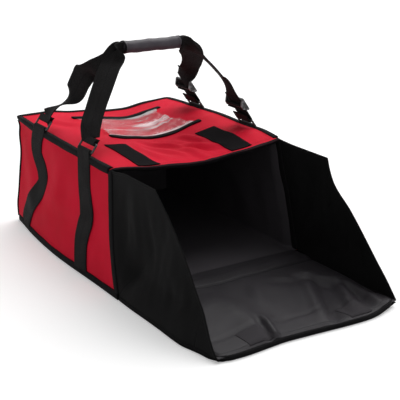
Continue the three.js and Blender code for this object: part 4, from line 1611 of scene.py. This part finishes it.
@dataclass(frozen=True)
class SideStraps:
    """The four straps sewn up the sides, each turned round its ring."""

    form: BoxForm = BOX
    foot: float = 0.0115
    head: float = 0.234
    proud: float = 0.0016
    box_half: float = 0.0205
    box_low: float = 0.180
    box_high: float = 0.222
    left_rear: Curve = Curve(
        (0.0, 0.028, 0.063, 0.09, 0.115, 0.130, 0.150, 0.185, 0.215, 0.245),
        (0.071, 0.061, 0.036, 0.012, -0.007, -0.012, -0.003, 0.020, 0.014, 0.0),
    )
    left_front: Curve = Curve(
        (0.0, 0.043, 0.070, 0.10, 0.126, 0.145, 0.177, 0.214, 0.245),
        (-0.027, -0.025, -0.026, -0.034, -0.040, -0.031, -0.014, -0.005, 0.0),
    )
    right_both: Curve = Curve((0.0, 0.10, 0.25), (0.005, -0.004, 0.0))

    def _wander(self, side: Side, row: Row, z: Array) -> Array:
        """Give how far a strap strays along the bag as the panel under it slumps."""
        if side is Side.RIGHT:
            return self.right_both.at(z)
        return (self.left_rear if row is Row.REAR else self.left_front).at(z)

    def _on_wall(self, side: Side, row: Row, across: Array, z: Array, proud: float) -> Array:
        """Give points of a strap at places across its width, standing proud of the soft wall."""
        y = row.value + across + self._wander(side, row, z)
        return self.form.slumped(points_of(side.value * (self.form.half_width + proud), y, z))

    def _stations(self, side: Side, row: Row) -> list[Station]:
        """Trace the strap from the base up the wall and round the ring's lower bar."""
        z = np.linspace(self.foot, self.head, 26)
        middle = self._on_wall(side, row, 0.0 * z, z, self.proud)
        near, far = (self._on_wall(side, row, across + 0.0 * z, z, self.proud) for across in (-0.02, 0.02))
        found = [Station(tuple(spot), tuple(across)) for spot, across in zip(middle, unit(far - near))]
        ring = RingPlace(side, row)
        for step in range(13):
            angle = math.radians(-8.0 + 250.0 * step / 12.0)
            x = side.value * (ring.bar_x + ring.eye * math.cos(angle))
            found.append(Station((x, row.value, ring.bar_z + ring.eye * math.sin(angle)), ALONG_BAG))
        found.append(Station((side.value * 0.1999, row.value, 0.2405), ALONG_BAG))
        return found

    def _box_stitch(self, side: Side, row: Row) -> list[tuple[Array, Triple]]:
        """Trace the crossed square that sews a strap down, and its two edge rows."""
        half, low, high = self.box_half, self.box_low, self.box_high
        lines = [
            [(-half, low), (half, low), (half, high), (-half, high), (-half, low)],
            [(-half, low), (half, high)],
            [(-half, high), (half, low)],
            [(-half, 0.016), (-half, low)],
            [(half, 0.016), (half, low)],
        ]
        found = []
        for line in lines:
            across, z = Path(np.array(line)).read(np.linspace(0.0, 1.0, 40 * (len(line) - 1))).T
            found.append((self._on_wall(side, row, across, z, 0.0030), (float(side.value), 0.0, 0.0)))
        return found

    def build(self) -> None:
        """Build and dress the straps."""
        rows = []
        for side in Side:
            for row in Row:
                name = f"{side.label}_{row.label}_wall_strap"
                strap = Webbing(name, tuple(self._stations(side, row)), steps=120)
                dressed(strap.build(), WEBBING, "box", f"{side.label}_{row.label}_side_strap")
                rows += self._box_stitch(side, row)
        dressed(Stitches("side_strap_stitches").build(rows), BLACK_THREAD, "box")


@dataclass(frozen=True)
class FreeRun:
    """A handle strap's run from a ring or an adjuster to the grip.

    The sign is 1 where its width points up at the grip, and -1 where it points down.
    """

    side: Side
    row: Row
    sign: float
    at_ring: tuple[tuple[float, float, Triple], ...]
    between: tuple[Station, ...]


FREE_RUNS = (
    FreeRun(
        Side.LEFT, Row.FRONT, 1.0, ((0.0235, 0.0017, (0.25, -0.97, 0.0)),),
        (
            Station((-0.1780, 0.0840, 0.2900), (0.43, -0.89, 0.05)),
            Station((-0.1576, 0.1006, 0.3205), (0.46, -0.88, 0.09)),
            Station((-0.1341, 0.1146, 0.3565), (0.55, -0.83, 0.10)),
            Station((-0.1131, 0.1286, 0.3851), (0.62, -0.78, 0.11)),
            Station((-0.0890, 0.1440, 0.4060), (0.80, -0.45, 0.40), 0.0225, 0.0030),
        ),
    ),
    FreeRun(
        Side.LEFT, Row.REAR, -1.0, ((0.0235, 0.0017, (0.20, -0.97, 0.10)),),
        (
            Station((-0.1610, 0.2429, 0.2990), (-0.43, -0.87, 0.23)),
            Station((-0.1435, 0.2248, 0.3215), (0.39, -0.90, 0.17)),
            Station((-0.1340, 0.2077, 0.3545), (0.50, -0.86, -0.04)),
            Station((-0.1290, 0.1976, 0.3700), (0.69, -0.72, -0.12)),
            Station((-0.1205, 0.1645, 0.3815), (0.55, -0.55, -0.62), 0.0235, 0.0027),
            Station((-0.0970, 0.1545, 0.3995), (0.45, -0.35, -0.82), 0.0190, 0.0036),
        ),
    ),
    FreeRun(
        Side.RIGHT, Row.FRONT, -1.0, ((0.0760, 0.0040, ALONG_BAG), (0.0880, 0.0042, (0.10, 0.98, -0.10))),
        (
            Station((0.1460, 0.0950, 0.3450), (0.48, 0.83, -0.28)),
            Station((0.1330, 0.1140, 0.3690), (0.50, 0.82, -0.27)),
            Station((0.1130, 0.1300, 0.3930), (0.50, 0.80, -0.33)),
            Station((0.0960, 0.1400, 0.4100), (0.40, 0.70, -0.60), 0.0190, 0.0036),
        ),
    ),
    FreeRun(
        Side.RIGHT, Row.REAR, 1.0, ((0.0760, 0.0040, TO_FRONT),),
        (
            Station((0.1570, 0.2600, 0.3290), (0.16, -0.92, 0.30)),
            Station((0.1510, 0.2300, 0.3530), (0.28, -0.82, 0.48)),
            Station((0.1380, 0.2030, 0.3750), (0.32, -0.78, 0.50)),
            Station((0.1175, 0.1790, 0.3955), (0.34, -0.70, 0.55), 0.0235, 0.0027),
            Station((0.0940, 0.1610, 0.4105), (0.25, -0.55, 0.75), 0.0200, 0.0036),
        ),
    ),
)


@dataclass(frozen=True)
class CarryingHandle:
    """The two handle straps, their metalwork and the grip that gathers them."""

    grip_half: float = 0.069
    grip_y: float = 0.15085
    grip_z: float = 0.424
    grip_radius: float = 0.0125
    hem: float = 0.0050
    squash_foot: float = 0.2466
    squash_keep: float = 0.0643

    def _end(self, run: FreeRun) -> list[Station]:
        """Give a run's gathered end, from just outside the grip to inside it.

        Args:
            run: The run.

        Returns:
            The stations.
        """
        side = run.side.value
        x = side * self.grip_half
        y = self.grip_y + math.copysign(0.0042, run.row.value - self.grip_y)
        outer = (-0.25 * side * run.sign, 0.0, run.sign)
        return [
            Station((x + side * 0.0085, y, self.grip_z - 0.002), outer, 0.0145, 0.0055),
            Station((x - side * 0.004, y, self.grip_z), (0.0, 0.0, run.sign), 0.0092, 0.0070),
        ]

    def _free_runs(self) -> None:
        """Build the four runs between the rings and the grip."""
        for run in FREE_RUNS:
            ring = RingPlace(run.side, run.row)
            stations = [Station(ring.point(up, out), across) for up, out, across in run.at_ring]
            stations += [*run.between, *self._end(run)]
            strap = Webbing(f"{run.side.label}_{run.row.label}_handle_run", tuple(stations))
            piece = dressed(strap.build(), WEBBING, "box", f"{run.row.label}_handle_strap")
            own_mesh(piece)

    def _ring_ends(self) -> None:
        """Build the webbing that turns round each ring's upper bar and each adjuster's middle bar."""
        for row in Row:
            left = RingPlace(Side.LEFT, row)
            left_turn = left.turn(left.span, 0.0, 0.1, -1.06 * math.pi)
            loop = [
                Station(left.point(0.0280, 0.0036), LOOP_TAIL),
                Station(left.point(0.0240, 0.0039), TO_FRONT),
                *(Station(turn.centre, TO_FRONT) for turn in left_turn),
                Station(left.point(0.0240, -0.0022), TO_FRONT),
                Station(left.point(0.0290, -0.0012), LOOP_TAIL),
            ]
            self._loop(f"left_{row.label}_strap_loop", loop, left.body(), row)

            right = RingPlace(Side.RIGHT, row)
            loop = [
                Station(right.point(0.0745, 0.0040), ALONG_BAG),
                Station(right.point(0.0300, 0.0039), ALONG_BAG),
                *right.turn(right.span, 0.0, 0.0, -math.pi),
                Station(right.point(0.0300, -0.0037), ALONG_BAG),
                Station(right.point(0.0360, -0.0036), ALONG_BAG),
            ]
            self._loop(f"right_{row.label}_strap_loop", loop, right.body(), row)

            middle = right.span + 0.042
            bar_out = 0.0025 - 0.0003 - 0.0050
            loop = [Station(right.point(middle - 0.006, bar_out - 0.0040), ALONG_BAG)]
            loop += right.turn(middle, bar_out, -0.55 * math.pi, 1.3 * math.pi)
            self._loop(f"{row.label}_adjuster_strap_loop", loop, f"{row.label}_slider", row)

    def _loop(self, name: str, stations: list[Station], body: str, row: Row) -> None:
        """Build and dress one short loop of webbing, which rides on a body."""
        strap = Webbing(name, tuple(stations), steps=60, round_cells=20)
        dressed(strap.build(), WEBBING, body, f"{row.label}_handle_strap")

    def _metalwork(self) -> None:
        """Lacquer the rings and the slide adjusters."""
        names = [RingPlace(side, row).body() for side in Side for row in Row]
        for name in names + [f"{row.label}_slider" for row in Row]:
            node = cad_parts[name]
            node.data.materials.clear()
            node.data.materials.append(METAL.material())
            LOG.info("%s: lacquered", name)

    def _round(self, x: Array, angle: Array, radius: Array) -> Array:
        """Give points round the grip's slightly flattened section."""
        y = self.grip_y + 1.05 * radius * np.cos(angle)
        return points_of(x, y, self.grip_z + 0.97 * radius * np.sin(angle))

    def _wrap(self, around: Array, along: Array) -> Array:
        """Roll the leathercloth, waisted a little between its hemmed ends."""
        angle = 2.0 * np.pi * around
        x = self.grip_half * (2.0 * along - 1.0)
        end = self.grip_half - np.abs(x)
        hem = 0.0008 * hump(end, 0.004, 0.004) - 0.0022 * (1.0 - eased(end, 0.0, 0.0016))
        seam = 0.0011 * eased(np.cos(angle + 1.9), 0.80, 0.97)
        soft = 0.0004 * np.sin(x * 95.0 + 2.0 * np.sin(angle)) + 0.0003 * np.sin(x * 210.0 + angle * 2.0)
        return self._round(x, angle, self.grip_radius + hem + seam + soft)

    def _grip(self) -> None:
        """Build the leathercloth wrap, its hems and its stitches."""
        wrap = rolled("grip_leathercloth", self._wrap, (56, 120), (0.079, 2 * self.grip_half))
        dressed(wrap, GRIP_COVER, "handle", "grip_wrap")
        turn = np.linspace(0.0, 2.0 * np.pi, 60)
        across = np.stack([np.zeros_like(turn), np.cos(turn), np.sin(turn)], axis=1)
        inset = self.grip_half - 0.0085
        rows = [(self._round(x, turn, self.grip_radius + 0.0003), across) for x in (-inset, inset)]
        lap = 2.0 * np.pi - 1.45
        line = self._round(np.linspace(-inset, inset, 60), lap, self.grip_radius + 0.001)
        rows.append((line, (0.0, math.cos(lap), math.sin(lap))))
        dressed(Stitches("grip_stitches").build(rows), BLACK_THREAD, "handle")
        for side in Side:
            inner, outer = self.grip_half - self.hem, self.grip_half + 0.0006

            def place(around: Array, along: Array, side: Side = side) -> Array:
                """Roll a thin band over the wrap's end."""
                section = 2.0 * np.pi * along
                x = side.value * (0.5 * (inner + outer) + 0.5 * (outer - inner) * np.cos(section))
                radius = self.grip_radius + 0.0002 + 0.0009 * np.sin(section)
                return self._round(x, 2.0 * np.pi * around, radius)

            band = rolled(f"{side.label}_grip_hem", place, (48, 14), (0.079, 0.014), False)
            dressed(band, BINDING, "handle")

    def build(self) -> None:
        """Build and dress the handle."""
        self._free_runs()
        self._ring_ends()
        self._metalwork()
        self._grip()


@dataclass(frozen=True)
class FrontFlap:
    """The open flap: sill pad, main pad with its lap, and the rolled edge."""

    form: FlapForm = FLAP
    start: float = -0.0975
    hinge_from: Triple = (0.0, -0.1017, 0.012)
    hinge_to: Triple = (0.0, -0.1125, 0.012)
    fold: float = 0.006
    cloth: float = 0.0007
    corner: float = 0.026
    edge_reach: float = 0.0042
    edge_middle: float = 0.0048
    edge_rise: float = 0.0046

    def _upper(self, near: float, far: float) -> Placer:
        """Make the placer of the lining between two lines across the flap."""

        def place(across: Array, along: Array) -> Array:
            """Lay the lining over the pad."""
            x = self.form.half_width * (2.0 * across - 1.0)
            y = far + (near - far) * along
            return self.form.moved(points_of(x, y, self.form.lining_z(x, y)))

        return place

    def _lower(self, near: float, far: float) -> Placer:
        """Make the placer of the cover under the flap between two lines across it."""

        def place(across: Array, along: Array) -> Array:
            """Lay the cover under the pad, lifted where the seam draws it in."""
            x = self.form.half_width * (1.0 - 2.0 * across)
            y = far + (near - far) * along
            seam = 0.0020 * hump(y, self.form.seam, 0.008)
            edge = eased(self.form.half_width - np.abs(x), 0.0, 0.012)
            return self.form.moved(points_of(x, y, 0.0006 + seam + 0.0026 * (1.0 - edge)))

        return place

    def _rolled_edge(self) -> Object:
        """Build the rolled tape round the left edge, the front and the right edge."""
        form = self.form
        corners, outward = hoop(form.half_width - 0.0006, form.hinge, form.front, self.corner, 9)
        path = Path(corners)

        def place(around: Array, along: Array) -> Array:
            """Run the tape's two rolls, with a waist between them, round the flap."""
            angle = 2.0 * np.pi * around
            where = along * path.length()
            wave = 1.0 + 0.10 * np.sin(where * 47.0) * np.sin(where * 17.0 + 0.6)
            waist = 0.45 + 0.55 * np.abs(np.sin(angle)) ** 0.5
            reach = self.edge_reach * np.sign(np.cos(angle)) * np.abs(np.cos(angle)) ** 0.6 * waist * wave
            flat = path.read(along) + path.read(along, outward) * reach[:, None]
            z = self.edge_middle + self.edge_rise * np.sin(angle)
            return form.moved(points_of(flat[:, 0], flat[:, 1], z))

        return rolled("flap_edge_roll", place, (26, 300), (0.034, path.length()))

    def _stitch_rows(self) -> tuple[list, list]:
        """Trace the two rows of the seam across the flap, and the row along its edge."""
        form = self.form
        seams = []
        for offset in (-0.0022, 0.0022):
            x = np.linspace(-0.192, 0.192, 200)
            y = np.full_like(x, form.seam + offset)
            seams.append((form.moved(points_of(x, y, form.lining_z(x, y) + 0.0002)), UP))
        inner, ahead = form.half_width - 0.009, form.front + 0.010
        ring = np.array([(-inner, form.seam), (-inner, ahead), (inner, ahead), (inner, form.seam)])
        x, y = Path(ring).read(np.linspace(0.0, 1.0, 420)).T
        return seams, [(form.moved(points_of(x, y, form.lining_z(x, y) + 0.0004)), UP)]

    def _bent(self, piece: Object) -> Object:
        """Bake a piece's placement into its mesh."""
        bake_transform(piece)
        return piece

    def build(self) -> None:
        """Build and dress the flap."""
        form = self.form
        width = 2.0 * form.half_width
        sill, main = self.start - form.seam, form.seam - form.front
        above, below = self._upper(self.start, form.seam), self._lower(self.start - 0.004, form.seam)
        top = panel("sill_lining", above, (110, 30), (width, sill), self.cloth)
        dressed(top, SATIN_LINING, None, "flap_lining", "sill_pad")
        under = panel("sill_cover", below, (80, 20), (width, sill), self.cloth)
        dressed(under, BLACK_NYLON, None, "flap_cover")
        for piece in (top, under):
            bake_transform(piece)
        above, below = self._upper(form.seam, form.front), self._lower(form.seam, form.front)
        top = panel("flap_lining_panel", above, (150, 110), (width, main), self.cloth)
        self._bent(dressed(top, SATIN_LINING, None, "flap_lining", "flap_pad", "lap_lining", "lap_pad"))
        under = panel("flap_cover_panel", below, (110, 80), (width, main), self.cloth)
        self._bent(dressed(under, BLACK_NYLON, None, "flap_cover", "lap_cover"))
        edges = ("left_flap_binding", "right_flap_binding", "lap_binding")
        self._bent(dressed(self._rolled_edge(), BINDING, None, *edges))
        seams, border = self._stitch_rows()
        dressed(Stitches("flap_seam_stitches").build(seams), GREY_THREAD, "flap")
        self._bent(dressed(Stitches("flap_edge_stitches").build(border), GREY_THREAD, None))
        self._hook_tapes()

    def _hook_tapes(self) -> None:
        """Build the two hook tapes on the lap's inner face."""
        form = self.form
        near, far = form.lap - 0.006, form.front + 0.0065
        for side in Side:

            def place(around: Array, along: Array, side: Side = side) -> Array:
                """Lay the tape's low section on the lap."""
                wide, tall = squared(2.0 * np.pi * around, 0.5, 0.25)
                x = side.value * 0.110 + 0.025 * wide
                y = far + (near - far) * along
                return form.moved(points_of(x, y, form.lining_z(0.0 * x, y) + 0.0004 + 0.0006 * tall))

            tape = rolled(f"{side.label}_hook_strip", place, (36, 24), (0.104, near - far))
            dressed(tape, HOOKS, "lap", f"{side.label}_hook_tape")


@dataclass(frozen=True)
class Gussets:
    """The two creased gussets, each of an upper panel, a lower panel and a tip."""

    keep: float = 0.1
    hem_reach: float = 0.0032
    inner: Pair = (-0.2034, 0.02)

    def _patch(self, form: GussetForm, corners: Pairs) -> Placer:
        """Make the placer of one panel between its four corners."""
        points = np.array(corners)

        def place(across: Array, along: Array) -> Array:
            """Spread the panel over the gusset."""
            a, b = (1 - across)[:, None], across[:, None]
            c, d = (1 - along)[:, None], along[:, None]
            flat = points[0] * a * c + points[1] * a * d + points[2] * b * d + points[3] * b * c
            return form.spread(flat[:, 0], flat[:, 1])

        return place

    def _hem(self, form: GussetForm, label: str, corners: Pairs) -> list[Object]:
        """Build the folded hem and its stitches along a panel's free edge.

        Args:
            form: The gusset.
            label: The panel's label.
            corners: The panel's corners.

        Returns:
            The two pieces.
        """
        path = Path(np.array(corners[1:] if label == "upper_gusset" else corners[2:]))
        name = f"{form.side.label}_{label}"

        def line(share: Array, reach: Array | float, out: Array | float) -> Array:
            """Give points beside the free edge."""
            flat = path.read(share)
            toward = unit(np.array(self.inner) - flat)
            points = form.spread(flat[:, 0] + toward[:, 0] * reach, flat[:, 1] + toward[:, 1] * reach)
            points[:, 0] += out
            return points

        def place(around: Array, along: Array) -> Array:
            """Roll the hem over the free edge."""
            angle = 2.0 * np.pi * around
            return line(along, self.hem_reach * (1.0 - np.cos(angle)), 0.0010 * np.sin(angle))

        hem = rolled(f"{name}_hem", place, (12, int(30 + 500 * path.length())), (0.014, path.length()))
        dressed(hem, BLACK_NYLON, name)
        share = np.linspace(0.0, 1.0, 120)
        rows = [(line(share, 0.0048, 0.0011 * face), (face, 0.0, 0.0)) for face in (-1.0, 1.0)]
        return [hem, dressed(Stitches(f"{name}_stitches").build(rows), BLACK_THREAD, name)]

    def build(self) -> None:
        """Build and dress the gussets."""
        cells = {"upper_gusset": (70, 90), "lower_gusset": (60, 90), "gusset_tip": (24, 24)}
        flats = {"upper_gusset": (0.17, 0.235), "lower_gusset": (0.24, 0.19), "gusset_tip": (0.056, 0.053)}
        for side in Side:
            form = GussetForm(side)
            for label, corners in form.panels().items():
                name = f"{side.label}_{label}"
                mesh = shaped_grid(self._patch(form, corners), cells[label], flats[label])
                bmesh.ops.remove_doubles(mesh, verts=mesh.verts, dist=1e-6)
                if side is Side.RIGHT:
                    bmesh.ops.reverse_faces(mesh, faces=mesh.faces)
                piece = finished(mesh, f"{name}_cloth")
                thicken(piece, 0.0009, 0.0)
                dressed(piece, BLACK_NYLON, name, name)
                for part in [piece, *self._hem(form, label, corners)]:
                    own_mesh(part)


@dataclass(frozen=True)
class TopStitching:
    """The row of thread beside the top's bindings."""

    form: BoxForm = BOX
    inset: float = 0.0135

    def build(self) -> None:
        """Build and dress the row."""
        half, back = self.form.half_width - self.inset, self.form.back - self.inset
        front = self.form.mouth_top + 0.0150
        ring = np.array([(-half, front), (-half, back), (half, back), (half, front), (-half, front)])
        x, y = Path(ring).read(np.linspace(0.0, 1.0, 700)).T
        row = self.form.slumped(points_of(x, y, self.form.height + 0.0004))
        dressed(Stitches("top_panel_stitches").build([(row, UP)]), RED_THREAD, "box")


@dataclass(frozen=True)
class Studio:
    """The pale floor, the lamps and the camera of the photograph."""

    place: Triple = (-1.04605, -1.57780, 0.78058)
    azimuth: float = math.radians(34.190)
    elevation: float = math.radians(18.978)
    roll: float = math.radians(0.986)
    lens: float = 88.39
    sensor: float = 36.0
    sky: float = 0.27
    floor_glow: float = 0.34
    key_to: Triple = (0.60, 0.35, 1.00)
    key: float = 2.5
    fill_to: Triple = (-0.70, -0.80, 0.60)
    fill: float = 0.06

    def _camera(self) -> None:
        """Set the camera at the photograph's place and angle."""
        level = math.cos(self.elevation)
        run = (math.sin(self.azimuth) * level, math.cos(self.azimuth) * level)
        forward = Vector((*run, -math.sin(self.elevation)))
        right = forward.cross(Vector(UP)).normalized()
        up = right.cross(forward)
        turned_right = math.cos(self.roll) * right + math.sin(self.roll) * up
        turned_up = -math.sin(self.roll) * right + math.cos(self.roll) * up
        data = bpy.data.cameras.new("photo_camera")
        data.lens = self.lens
        data.sensor_width = self.sensor
        data.sensor_fit = "HORIZONTAL"
        camera = bpy.data.objects.new("photo_camera", data)
        bpy.context.scene.collection.objects.link(camera)
        turn = Matrix((turned_right, turned_up, -forward)).transposed().to_4x4()
        camera.matrix_world = Matrix.Translation(Vector(self.place)) @ turn
        bpy.context.scene.camera = camera

    @staticmethod
    def _seen(bench: Bench) -> Socket:
        """Give 1 for rays that show a surface to the eye, straight, mirrored or through film."""
        path = bench.add("ShaderNodeLightPath").outputs
        straight = bench.math("MAXIMUM", path["Is Camera Ray"], path["Is Glossy Ray"])
        return bench.math("MAXIMUM", straight, path["Is Transmission Ray"])

    def _floor(self) -> None:
        """Lay the pale floor, which shows white to the camera and keeps the shadow."""
        mesh = bmesh.new()
        bmesh.ops.create_grid(mesh, x_segments=2, y_segments=2, size=30.0)
        bmesh.ops.translate(mesh, verts=mesh.verts, vec=(0, 0, -0.0004))
        floor = finished(mesh, "studio_floor")
        material = bpy.data.materials.new("pale_floor")
        material.use_nodes = True
        bench = Bench(material.node_tree)
        shader = bench.node("ShaderNodeBsdfPrincipled")
        shader.inputs["Base Color"].default_value = (0.88, 0.88, 0.88, 1.0)
        shader.inputs["Roughness"].default_value = 0.9
        shader.inputs["Specular IOR Level"].default_value = 0.0
        strength = bench.math("MULTIPLY", self._seen(bench), self.floor_glow)
        glow = bench.add("ShaderNodeEmission", Strength=strength)
        both = bench.add("ShaderNodeAddShader")
        bench.set(both.inputs[0], shader.outputs[0])
        bench.set(both.inputs[1], glow.outputs[0])
        bench.set(bench.node("ShaderNodeOutputMaterial").inputs["Surface"], both.outputs[0])
        floor.data.materials.append(material)

    def _lamp(self, name: str, toward: Triple, strength: float) -> None:
        """Hang one very soft lamp.

        Args:
            name: The lamp's name.
            toward: The direction in which it hangs.
            strength: Its strength.
        """
        data = bpy.data.lights.new(name, "SUN")
        data.energy = strength
        data.angle = math.radians(65.0)
        lamp = bpy.data.objects.new(name, data)
        bpy.context.scene.collection.objects.link(lamp)
        lamp.rotation_euler = (-Vector(toward)).to_track_quat("-Z", "Y").to_euler()

    def _world(self) -> None:
        """Fill the surroundings: white to the camera, a plain level of light on the object."""
        world = bpy.data.worlds.new("studio_world")
        bpy.context.scene.world = world
        world.use_nodes = True
        bench = Bench(world.node_tree)
        back = bench.node("ShaderNodeBackground")
        bench.set(back.inputs["Strength"], bench.ramp(self._seen(bench), (0.0, 1.0), (self.sky, 1.0)))
        back.inputs["Color"].default_value = (1.0, 1.0, 1.0, 1.0)

    def build(self) -> None:
        """Set up the studio."""
        bpy.context.scene.view_settings.view_transform = "Standard"
        self._camera()
        self._floor()
        self._world()
        self._lamp("key_light", self.key_to, self.key)
        self._lamp("fill_light", self.fill_to, self.fill)


def main() -> None:
    """Build every sub-assembly in order."""
    logging.basicConfig(level=logging.INFO, format="%(message)s")
    assemblies = (
        Studio, PaddedBox, Bindings, TicketWindow, LoopPatches,
        SideStraps, CarryingHandle, FrontFlap, Gussets, TopStitching,
    )
    for assembly in assemblies:
        assembly().build()
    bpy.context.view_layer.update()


if __name__ == "__main__":
    main()
